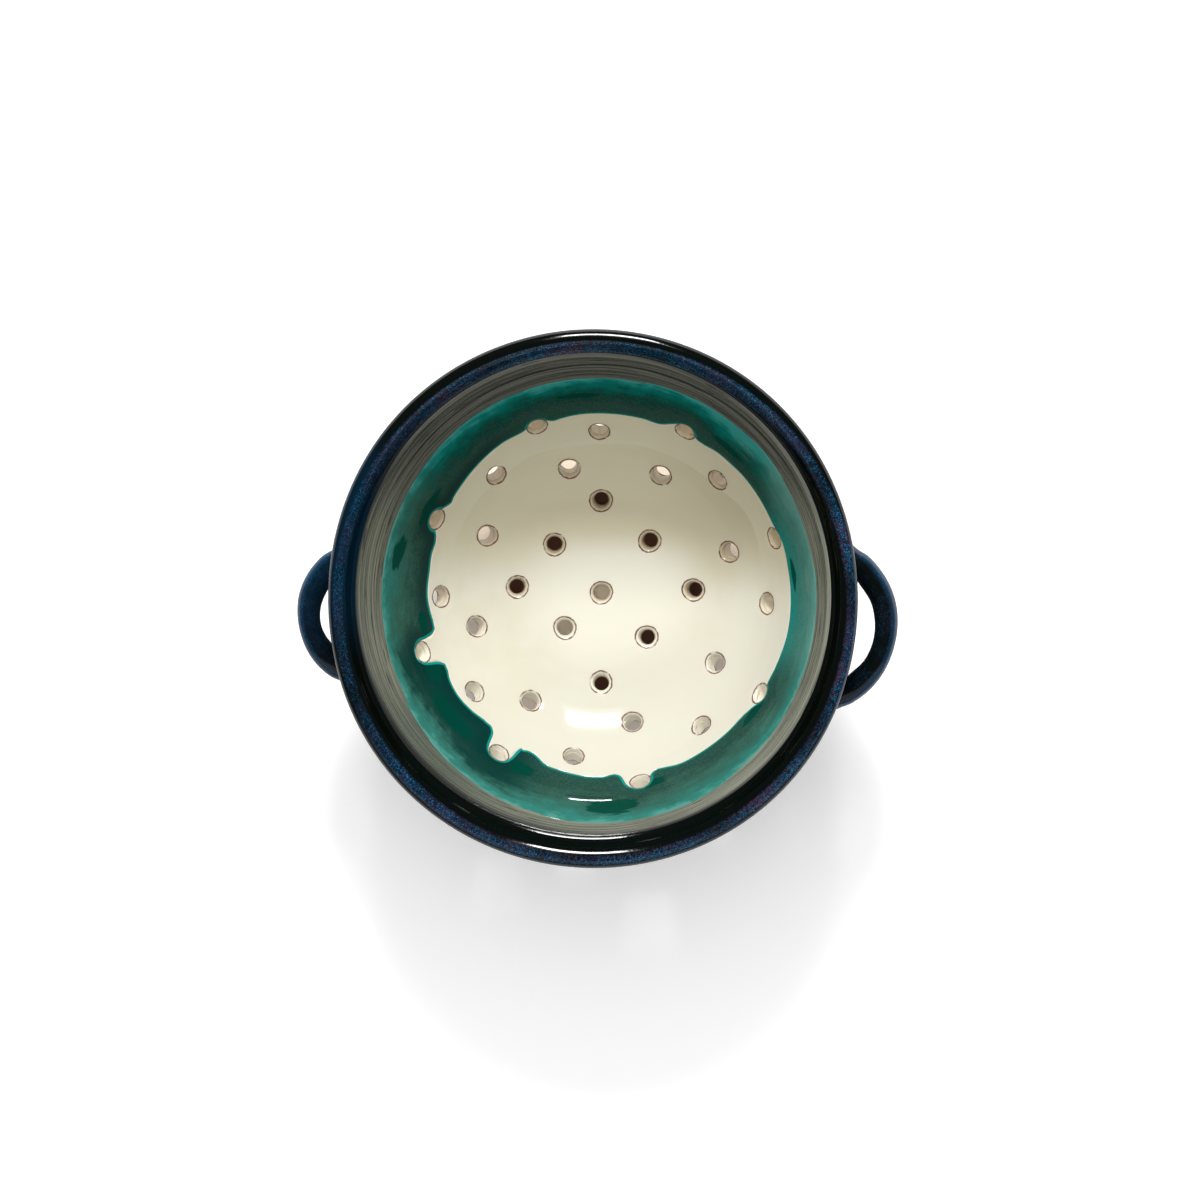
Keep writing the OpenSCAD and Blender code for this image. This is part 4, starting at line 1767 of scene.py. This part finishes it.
@dataclass
class GlazedInside:
    """Cream liner, teal band and the sleeves that line the drain holes."""

    coat: float = 0.35
    under_teal: float = 0.45
    clearance: float = 0.55
    loop_points: int = 1200
    # Drop below a hole's edge and change of radius of the throat's rows
    throat: tuple[Span, ...] = ((0.25, -0.04), (0.7, -0.12), (1.3, -0.2))
    # The teal glaze's thickness, the reach over which it swells to it, and its rolled edge
    teal_thick: float = 0.24
    teal_swell: float = 0.6
    teal_roll: float = 0.10
    roll_middle: float = 0.8
    roll_width: float = 0.5
    toe: float = 0.25
    # Towards the olive glaze it thins over the fade and dives under it over the dive reach
    teal_fade: float = 4.0
    thinnest: float = 0.05
    teal_dive: float = 0.24
    dive_reach: float = 1.1
    # Painted dark reflections in patches on the teal: degrees, pixels from the middle, and half
    # widths of both
    dark_reflections: tuple[tuple[float, float, float, float], ...] = (
        (7.5, 203, 6, 3), (48.5, 204, 7, 3), (94, 205, 8, 3), (166, 200, 6, 6),
        (276, 207, 9.5, 7), (326, 197, 7, 4), (219, 186, 12, 8), (247, 186, 5, 6),
        (188, 176, 5, 6), (205, 178, 5, 7), (150, 190, 8, 4), (288, 194, 5, 4))
    dark_reflection_falloff: float = 0.9
    # Sleeves: room to the hole, drop of the upper end, and what is left at the lower one
    sleeve_room: float = 0.2
    sleeve_drop: float = 1.1
    foot_clearance: float = 0.1
    belly_clearance: float = 1.0
    crease: float = 50.0

    def cream_loop(self) -> np.ndarray:
        """The edge of the teal glaze, kept clear of the holes that it flowed past.

        Returns:
            A closed loop in the unrolled plane.
        """
        loop = CREAM_EDGE.plane_points(self.loop_points)
        for hole in HOLES:
            gap = hole.gap(loop, 0.0)
            close = gap < self.clearance
            if close.any():
                offset = loop[close] - hole.middle
                push = (self.clearance - gap[close]) / np.linalg.norm(offset, axis=1)
                loop[close] += offset * push[:, None]
        return loop

    def build_cream(self, finish: bpy.types.Material) -> None:
        """Makes the cream liner with its hole mouths.

        Args:
            finish: Material of the liner.
        """
        loop = self.cream_loop()
        grown = loop * (1.0 + self.under_teal / np.linalg.norm(loop, axis=1))[:, None]
        parts = WallPatch(outer=grown, holes=HOLES).parts(throat=self.throat)
        piece = place_piece("cream_liner", parts.mesh("cream_liner"), finish, "cream_glaze",
                            "cream_glaze")
        thicken(piece, self.coat)
        # The dark glazes round it don't mirror it in the photograph
        piece.visible_glossy = False

    def dark_reflection_share(self, plane: np.ndarray) -> np.ndarray:
        """How strongly the painted dark reflections cover each point of the teal.

        Args:
            plane: Points in the unrolled plane.

        Returns:
            0 to 1 for each point.
        """
        reach, turn = np.hypot(*plane.T), np.degrees(np.arctan2(plane[:, 1], plane[:, 0])) % 360.0
        radius, _ = OUTLINE.inside(reach, np.zeros_like(reach))
        x = (radius * np.cos(np.radians(turn)) - CREAM_EDGE.middle[0]) / CREAM_EDGE.mm_per_px
        y = (radius * np.sin(np.radians(turn)) - CREAM_EDGE.middle[1]) / CREAM_EDGE.mm_per_px
        seen_turn, seen_reach = np.degrees(np.arctan2(y, x)) % 360.0, np.hypot(x, y)
        dark_reflection = np.zeros(len(plane))
        for degrees, pixels, wide, tall in self.dark_reflections:
            away = degrees_from(seen_turn, degrees) / wide
            off = (seen_reach - pixels) / tall
            dark_reflection = np.maximum(dark_reflection, np.exp(-self.dark_reflection_falloff * (away ** 2 + off ** 2)))
        return dark_reflection

    def build_teal(self, finish: bpy.types.Material) -> None:
        """Makes the poured teal band.

        Args:
            finish: Material of the band.
        """
        inner, outer = self.cream_loop(), OLIVE_EDGE.plane_points(self.loop_points)
        patch = WallPatch(outer=outer, inner=inner, spacing=0.8, rows=(0.1, 0.25, 0.45, 0.75, 1.1))
        flat = patch.triangulate()
        edge, crest = loop_gap(flat[0], inner), loop_gap(flat[0], outer)
        roll = np.exp(-((edge - self.roll_middle) / self.roll_width) ** 2)
        lift = self.teal_thick * (1.0 - np.exp(-edge / self.teal_swell)) + self.teal_roll * roll
        lift *= self.thinnest + (1.0 - self.thinnest) * smoothstep(crest, 0.0, self.teal_fade)
        lift *= smoothstep(edge, 0.0, self.toe)
        lift -= self.teal_dive * (1.0 - smoothstep(crest, 0.0, self.dive_reach))
        parts = patch.parts(lift=lift, flat=flat)
        # The patch value carries the painted dark reflections
        parts.values = {"edge_gap": edge, "crest_gap": crest, "patch": self.dark_reflection_share(flat[0])}
        piece = place_piece("teal_band", parts.mesh("teal_band"), finish, "teal_glaze",
                            "teal_glaze")
        thicken(piece, self.coat)

    def build_sleeves(self, finish: bpy.types.Material) -> None:
        """Lines every hole from below its mouth to the outer side of the wall.

        Args:
            finish: Material of the sleeves.
        """
        middles, axes, bores, lengths = [], [], [], []
        for hole in HOLES:
            radius, _, lip = hole.kind.value.at(0.0)
            top = lip + RELIEF.dent_depth + self.sleeve_drop
            in_foot = hole.radius_from_axis < ClayBody.foot_inner
            left = OUTLINE.glaze + self.foot_clearance if in_foot else self.belly_clearance
            low = OUTLINE.full_wall - left
            _, slope = OUTLINE.arc_at(hole.station)
            normal = np.array([*(-math.sin(slope) * hole.along), math.cos(slope)])
            surface = fold(hole.middle[None, :], 0.0)[0]
            if not hole.off_axis:
                normal, surface = UP, np.array([0.0, 0.0, OUTLINE.floor_z])
            middles.append(surface - normal * (top + low) / 2.0)
            axes.append(normal)
            bores.append((radius - self.sleeve_room) * MM)
            lengths.append((low - top) * MM)
        source = bpy.data.meshes.new("hole_middles")
        source.from_pydata([tuple(p) for p in HAND.bend(np.array(middles)) * MM], [], [])
        mark_points(source, {"axis": axes, "bore": bores, "reach": lengths})
        made = run_tree("drain_sleeves", source, sleeve_tree(), {
            "Divisions": HOLE_STEPS, "Wall Share": 0.08, "Taper": 0.03, "Unevenness": 0.00008,
            "Seed": 7, "Finish": finish})
        made.set_sharp_from_angle(angle=math.radians(self.crease))
        mark_points(made, {"edge_gap": np.full(len(made.vertices), -3.0)})
        place_piece("drain_sleeves", made, finish, "cream_glaze")


@dataclass
class ClayBody:
    """The thrown clay under the glaze: it shows on the foot and round it."""

    inset: float = 0.42
    under: float = 0.5
    # How much wider than the glazed hole its bore is, inside and outside, and how much deeper
    # the inside lies than the relief of the glaze
    bore_room: Span = (0.3, 0.12)
    sunk: float = 0.15
    foot_inner: float = 34.6
    foot_outer: float = 40.0
    foot_lean: float = 0.8
    foot_bevel: float = 0.8
    # How far the foot ring reaches into the bowl, at its inside and at its outside
    foot_root: Span = (1.4, 3.4)
    foot_step: float = 0.35

    def build_bowl(self, finish: bpy.types.Material) -> None:
        """Makes the bare bowl, closed all round, with every hole right through it.

        Args:
            finish: Material of the clay.
        """
        last, outside = OUTLINE.ends[-1], OUTLINE.full_wall - self.under
        sides = []
        for depth, out in ((self.inset, False), (outside, True)):
            patch = WallPatch(outer=full_ring(last), depth=depth, spacing=1.6,
                              rings=(0.0, 0.4, 1.0), holes=HOLES)
            plane, faces, rings = patch.triangulate()
            relief = RELIEF.height(plane, depth)
            points = fold(plane, depth - (relief if out else relief - self.sunk))
            for hole, ring in zip(HOLES, rings):
                bore = hole.kind.value.at(depth)[0] + self.bore_room[out]
                points[ring] = fold(hole.ring(bore, depth), depth - relief[ring])
            faces = [tuple(reversed(face)) for face in faces] if out else faces
            sides.append((MeshParts(points, faces), rings))
        (inner, inner_rings), (outer, outer_rings) = sides
        whole = inner.added(outer)
        for near, far in zip(inner_rings, outer_rings):
            whole.faces += band(near, [i + len(inner.points) for i in far])
        line = np.concatenate([wall_point(last, self.inset),
                               OUTLINE.rim_line(self.inset, "shoulder", "roll", 0.8)[1:],
                               wall_point(last, outside)])
        whole = whole.added(TurnedForm(line[::-1], np.zeros(len(line))).parts("clay_rim", finish))
        mesh = whole.mesh("thrown_bowl", weld=0.02, face_out=True)
        place_piece("thrown_bowl", mesh, finish, "stoneware", "clay_bowl")

    def build_foot(self, finish: bpy.types.Material) -> None:
        """Turns the foot ring with its trimming marks.

        Args:
            finish: Material of the clay.
        """
        top = OUTLINE.floor_z - OUTLINE.full_wall
        base_out, bevel = self.foot_outer - self.foot_lean, self.foot_bevel
        corners = [(self.foot_inner, top + self.foot_root[0]), (self.foot_inner, bevel),
                   (self.foot_inner + bevel, 0.0), (base_out - bevel, 0.0), (base_out, bevel),
                   (base_out + 0.75 * self.foot_lean, top + self.foot_root[1])]
        line = []
        for (r0, z0), (r1, z1) in zip(corners, corners[1:] + corners[:1]):
            count = max(2, math.ceil(math.dist((r0, z0), (r1, z1)) / self.foot_step))
            line += [(r0 + (r1 - r0) * i / count, z0 + (z1 - z0) * i / count)
                     for i in range(count)]
        line = np.array(line[::-1])
        marked = (line[:, 1] > bevel + 0.1).astype(float)
        form = TurnedForm(line, marked, closed=True, hub=37.0, ring_height=0.045,
                          ring_pitch=1.15, drift=0.3, seed=3)
        mesh = form.parts("turned_foot", finish).mesh("turned_foot", face_out=True)
        place_piece("turned_foot", mesh, finish, "stoneware", "foot_ring")


@dataclass
class GlazedOutside:
    """Olive band of the inside and the blue coat from the cove over the rim to the foot."""

    coat: float = 0.35
    olive_start: float = 65.5
    olive_step: float = 0.3
    # Depth of the olive face on the wall and on the shoulder, and where its rings fade
    olive_depths: Span = (0.1, 0.05)
    rings_fade: float = 1.5
    blue_start: float = 42.0
    blue_inset: float = 0.02
    clearance: float = 0.75
    # The coat thins to nothing at its lower edge, over this reach
    thins: float = 0.30
    thins_over: float = 1.2
    throat: tuple[Span, ...] = ((0.25, -0.04), (0.8, -0.12))

    def build_olive(self, finish: bpy.types.Material) -> None:
        """Turns the olive band with its throwing rings.

        Args:
            finish: Material of the band.
        """
        first = float(OUTLINE.station(np.array([self.olive_start]))[0])
        stations = np.arange(first, OUTLINE.ends[-1], self.olive_step)
        on_wall, on_shoulder = self.olive_depths
        sides = []
        for places, wall_depth, shoulder_depth, step in (
                (stations, on_wall, on_shoulder, self.olive_step),
                (stations[::3], self.coat, self.coat, 0.8)):
            wall = np.stack(OUTLINE.inside(places, np.full_like(places, wall_depth)), axis=1)
            shoulder = OUTLINE.rim_line(shoulder_depth, "shoulder", "shoulder", step)
            sides.append(np.concatenate([wall, shoulder]))
        front, back = sides
        number = np.arange(len(front))
        marked = np.clip(number * self.olive_step / self.rings_fade, 0.0, 1.0)
        marked *= smoothstep(number[::-1].astype(float), 0.0, 4.0)
        form = TurnedForm(np.concatenate([front, back[::-1]]),
                          np.concatenate([marked, np.zeros(len(back))]), closed=True,
                          hub=70.0, ring_height=0.055, ring_pitch=1.9, drift=1.2, seed=5)
        mesh = form.parts("olive_band", finish).mesh("olive_band", face_out=True)
        place_piece("olive_band", mesh, finish, "olive_glaze", "olive_glaze")

    def build_blue(self, finish: bpy.types.Material) -> None:
        """Makes the blue coat: a turned rim joined to the holed outside of the belly.

        Args:
            finish: Material of the coat.
        """
        last, depth = OUTLINE.ends[-1], OUTLINE.full_wall
        arc = OUTLINE.arcs[1]
        reach = arc.radius + depth - OUTLINE.glaze
        slope = math.asin((self.blue_start - arc.centre[0]) / reach)
        start = OUTLINE.ends[0] + arc.radius * (slope - arc.start)
        holes = tuple(hole for hole in HOLES if hole.kind is not HoleKind.FLOOR)
        wiped = full_ring(start)
        for hole in holes:
            gap = hole.gap(wiped, depth)
            close = gap < self.clearance
            wiped[close] *= (1.0 - (self.clearance - gap[close]) / start)[:, None]
        patch = WallPatch(outer=full_ring(last), inner=wiped, depth=depth, spacing=1.1,
                          holes=holes)
        flat = patch.triangulate()
        station = np.hypot(*flat[0].T)
        lift = self.thins * (1.0 - smoothstep(station, start, start + self.thins_over))
        belly = patch.parts(lift=lift, throat=self.throat, facing_out=True, flat=flat)
        line = OUTLINE.rim_line(self.blue_inset, "cove", "roll", 0.35)
        down = np.linspace(line[-1], wall_point(last, depth)[0], 8)[1:]
        line = np.concatenate([line, down])
        rim = TurnedForm(line, np.ones(len(line)), hub=70.0, ring_height=0.012, ring_pitch=2.6,
                         drift=1.0, seed=9).parts("blue_rim", finish)
        rim.values["edge_gap"] = np.full(len(rim.points), WallPatch.far)
        mesh = belly.added(rim).mesh("blue_coat", weld=0.02)
        thicken(place_piece("blue_coat", mesh, finish, "blue_glaze", "blue_glaze"), self.coat)


class HandleSide(Enum):
    """The two handles: sign along X, bend radius, offset along Y and how far they stand out."""

    LEFT = (-1.0, 20.6, -4.8, 10.35)
    RIGHT = (1.0, 25.0, -7.8, 11.35)


@dataclass
class LoopHandle:
    """A pulled strip of clay bent into a loop and pressed on to the wall under the rim."""

    side: HandleSide
    thick: float = 6.4
    root_thick: float = 10.4
    root_swell: float = 1.3
    glaze: float = 0.5
    drop: float = 16.5
    root_turn: float = 58.0
    root_length: float = 20.0
    sunk: float = 2.4
    around: int = 40
    arc_steps: int = 60
    root_steps: int = 26
    # Power of the squared section, how much of the squaring the pulled strip keeps, and how
    # much thinner it is than round stock of the same size, as a share and in millimetres
    squareness: float = 2.5
    squared_share: float = 0.1
    fullness: float = 0.985
    shrunk: float = 0.08
    # Depth, number round the strip, phase and twist of the grooves that fingers left along it
    grooves: tuple[tuple[float, float, float, float], ...] = (
        (0.06, 5.0, 0.0, 0.02), (0.05, 9.0, 1.0, 0.0))
    # Height, rate and phase of the swells along it
    swells: tuple[tuple[float, float, float], ...] = ((0.10, 0.21, 0.0), (0.06, 0.09, 1.0))

    def path(self) -> tuple[np.ndarray, np.ndarray, np.ndarray]:
        """The middle line of the loop.

        Returns:
            Its points, its directions, and how far each point is along a root, from 0 to 1.
        """
        sign, bend, offset, overhang = self.side.value
        out = OUTLINE.rim_d / 2.0 + overhang - bend - self.thick / 2.0 - self.glaze
        centre = np.array([out, offset])
        facing = math.atan2(offset, out)
        steps = [(-1.0, i / self.root_steps) for i in range(self.root_steps, 0, -1)]
        steps += [(2.0 * i / self.arc_steps - 1.0, 0.0) for i in range(self.arc_steps + 1)]
        steps += [(1.0, i / self.root_steps) for i in range(1, self.root_steps + 1)]
        points, ways = [], []
        for swing, root in steps:
            turn = facing + math.radians(self.root_turn * swing)
            away = unit(turn)
            along = np.array([-away[1], away[0]])
            x, y = centre + bend * away + swing * self.root_length * root * along
            points.append((sign * x, y, OUTLINE.bowl_h - self.drop))
            ways.append((sign * along[0], along[1], 0.0))
        return np.array(points), np.array(ways), np.array([root for _, root in steps])

    def parts(self, inset: float) -> MeshParts:
        """Sweeps the section along the path and sets its roots into the wall.

        Args:
            inset: Distance into the clay from the glazed surface.

        Returns:
            A closed swept form.
        """
        points, ways, roots = self.path()
        turn = full_turn(self.around)
        across, up = np.cos(turn), np.sin(turn)
        power = self.squareness
        squared = (np.abs(across) ** power + np.abs(up) ** power) ** (-1.0 / power)
        shape = self.fullness + self.squared_share * (squared - 1.0)
        rings = []
        for number, (point, way, root) in enumerate(zip(points, ways, roots)):
            thick = self.thick + (self.root_thick - self.thick) * root ** self.root_swell
            grooves = sum(deep * np.sin(many * turn + phase + twist * number)
                          for deep, many, phase, twist in self.grooves)
            swell = sum(rise * math.sin(rate * number + phase)
                        for rise, rate, phase in self.swells)
            reach = (thick / 2.0 + self.glaze) * shape + grooves + swell - self.shrunk - inset
            rings.append(point + np.outer(reach * across, np.cross(way, UP))
                         + np.outer(reach * up, UP))
        cloud = np.concatenate(rings)
        flat = np.hypot(cloud[:, 0], cloud[:, 1])
        wall = OUTLINE.outside_radius(cloud[:, 2], OUTLINE.full_wall) - self.sunk
        buried = flat < wall
        cloud[buried, :2] *= (wall[buried] / flat[buried])[:, None]
        rows = np.arange(len(cloud)).reshape(len(points), self.around).tolist()
        faces = [face for first, second in zip(rows, rows[1:]) for face in band(first, second)]
        return MeshParts(cloud, faces + [tuple(rows[0][::-1]), tuple(rows[-1])])

    def build(self, clay: bpy.types.Material, glaze: bpy.types.Material) -> None:
        """Makes the clay strip and its glaze coat.

        Args:
            clay: Material of the strip.
            glaze: Material of the coat.
        """
        name = self.side.name.lower() + "_handle"
        for part, inset, finish, slot, node in (
                ("strip", self.glaze, clay, "stoneware", name),
                ("coat", 0.0, glaze, "blue_glaze", name + "_glaze")):
            mesh = self.parts(inset).mesh(f"{name}_{part}", weld=0.002, face_out=True)
            place_piece(f"{name}_{part}", mesh, finish, slot, node)


# Studio
def leaning(off_vertical: float, azimuth: float) -> Vector:
    """Direction that leans from the vertical towards an azimuth, both in degrees."""
    tilt, turn = math.radians(off_vertical), math.radians(azimuth)
    return Vector((math.sin(tilt) * math.cos(turn), math.sin(tilt) * math.sin(turn),
                   math.cos(tilt)))


@dataclass(frozen=True)
class SoftLight:
    """One rectangular light that faces the bowl.

    Off-vertical and azimuth are degrees, distance and size metres, and power is watts.
    """

    name: str
    off_vertical: float
    azimuth: float
    distance: float
    size: Span
    power: float
    mirrored: bool = True
    aim_height: float = 0.04

    def build(self) -> None:
        """Adds the light."""
        data = bpy.data.lights.new(self.name, "AREA")
        data.shape, data.energy = "RECTANGLE", self.power
        data.size, data.size_y = self.size
        lamp = bpy.data.objects.new(self.name, data)
        aim = Vector((0.0, 0.0, self.aim_height))
        lamp.location = aim + self.distance * leaning(self.off_vertical, self.azimuth)
        lamp.rotation_euler = (aim - lamp.location).to_track_quat("-Z", "Y").to_euler()
        lamp.visible_glossy = self.mirrored
        bpy.context.scene.collection.objects.link(lamp)


@dataclass
class Studio:
    """Paper, lights and a camera that looks almost straight down."""

    lights: tuple[SoftLight, ...] = (
        SoftLight("window_strip", 49.0, 90.0, 0.86, (0.25, 0.18), 6.6),
        SoftLight("window_glow", 47.5, 90.0, 0.87, (0.30, 0.38), 0.8),
        SoftLight("ceiling", 12.0, 90.0, 1.10, (1.20, 1.00), 3.0, mirrored=False),
    )
    world_soft: float = 0.68
    # What the glazes mirror: a dim room with a paler wall to the south
    room_mirrored: float = 0.05
    wall_mirrored: float = 0.50
    wall_side: Span = (-0.36, -0.46)
    wall_height: Span = (0.22, 0.34)
    paper_radius: float = 3.0
    paper_sides: int = 48
    tilt: float = 3.6
    azimuth: float = 38.0
    distance: float = 880.0
    mm_per_px: float = 0.3051
    rim_z: float = 73.8
    rim_px: Span = (591.9, 599.7)
    picture_px: float = 1200.0
    sensor: float = 36.0

    def build(self) -> None:
        """Sets the paper, the world, the lights and the camera."""
        self._paper()
        self._world()
        for light in self.lights:
            light.build()
        self._camera()

    def _paper(self) -> None:
        """Lays the paper."""
        mesh = bpy.data.meshes.new("paper")
        rim = [(*(self.paper_radius * unit(turn)), 0.0) for turn in full_turn(self.paper_sides)]
        mesh.from_pydata(rim, [], [tuple(range(self.paper_sides))])
        paper = bpy.data.objects.new("paper", mesh)
        bpy.context.scene.collection.objects.link(paper)
        mesh.materials.append(StudioPaper().material())

    def _world(self) -> None:
        """Lights the room softly, and shows white to the camera."""
        world = bpy.data.worlds.new("soft_room")
        world.use_nodes = True
        sketch = NodeSketch(world.node_tree)
        sketch.tree.nodes.clear()
        glossy = sketch.read("ShaderNodeLightPath", output="Is Glossy Ray")
        camera = sketch.read("ShaderNodeLightPath", output="Is Camera Ray")
        way = sketch.read("ShaderNodeTexCoord", output="Generated")
        _, y, z = sketch.read_all("ShaderNodeSeparateXYZ", {0: way})
        wall = y.fade(*self.wall_side) * z.fade(*self.wall_height)
        seen = wall * (self.wall_mirrored - self.room_mirrored) + self.room_mirrored
        soft = (1.0 - glossy) * self.world_soft + glossy * seen
        room = sketch.read("ShaderNodeBackground", {
            "Color": (1.0, 1.0, 1.0), "Strength": sketch.math("MAXIMUM", camera, soft)})
        sketch.add("ShaderNodeOutputWorld", {0: room})
        bpy.context.scene.world = world

    def _camera(self) -> None:
        """Adds the camera."""
        back = leaning(self.tilt, self.azimuth)
        right = Vector((0.0, 1.0, 0.0)).cross(back).normalized()
        up = back.cross(right)
        off_x, off_y = (self.picture_px / 2.0 - at for at in self.rim_px)
        aim = Vector((0.0, 0.0, self.rim_z)) + (right * off_x - up * off_y) * self.mm_per_px
        data = bpy.data.cameras.new("camera")
        data.sensor_width = self.sensor
        data.lens = self.distance / self.mm_per_px / self.picture_px * self.sensor
        camera = bpy.data.objects.new("camera", data)
        turned = Matrix((right, up, back)).transposed().to_4x4()
        camera.matrix_world = Matrix.Translation((aim + back * self.distance) * MM) @ turned
        bpy.context.scene.collection.objects.link(camera)
        bpy.context.scene.camera = camera


def main() -> None:
    """Builds the bowl piece by piece and reports each one."""
    logging.basicConfig(level=logging.INFO, format="%(name)s: %(message)s")
    scene = bpy.context.scene
    scene.view_settings.view_transform = "Standard"
    cream, teal = CreamGlaze().material(), TealGlaze().material()
    olive, blue, clay = OliveGlaze().material(), BlueGlaze().material(), BareStoneware().material()
    Studio().build()
    body = ClayBody()
    body.build_bowl(clay)
    body.build_foot(clay)
    inside = GlazedInside()
    inside.build_cream(cream)
    inside.build_teal(teal)
    inside.build_sleeves(cream)
    outside = GlazedOutside()
    outside.build_olive(olive)
    outside.build_blue(blue)
    for side in HandleSide:
        LoopHandle(side).build(clay, blue)


if __name__ == "__main__":
    main()
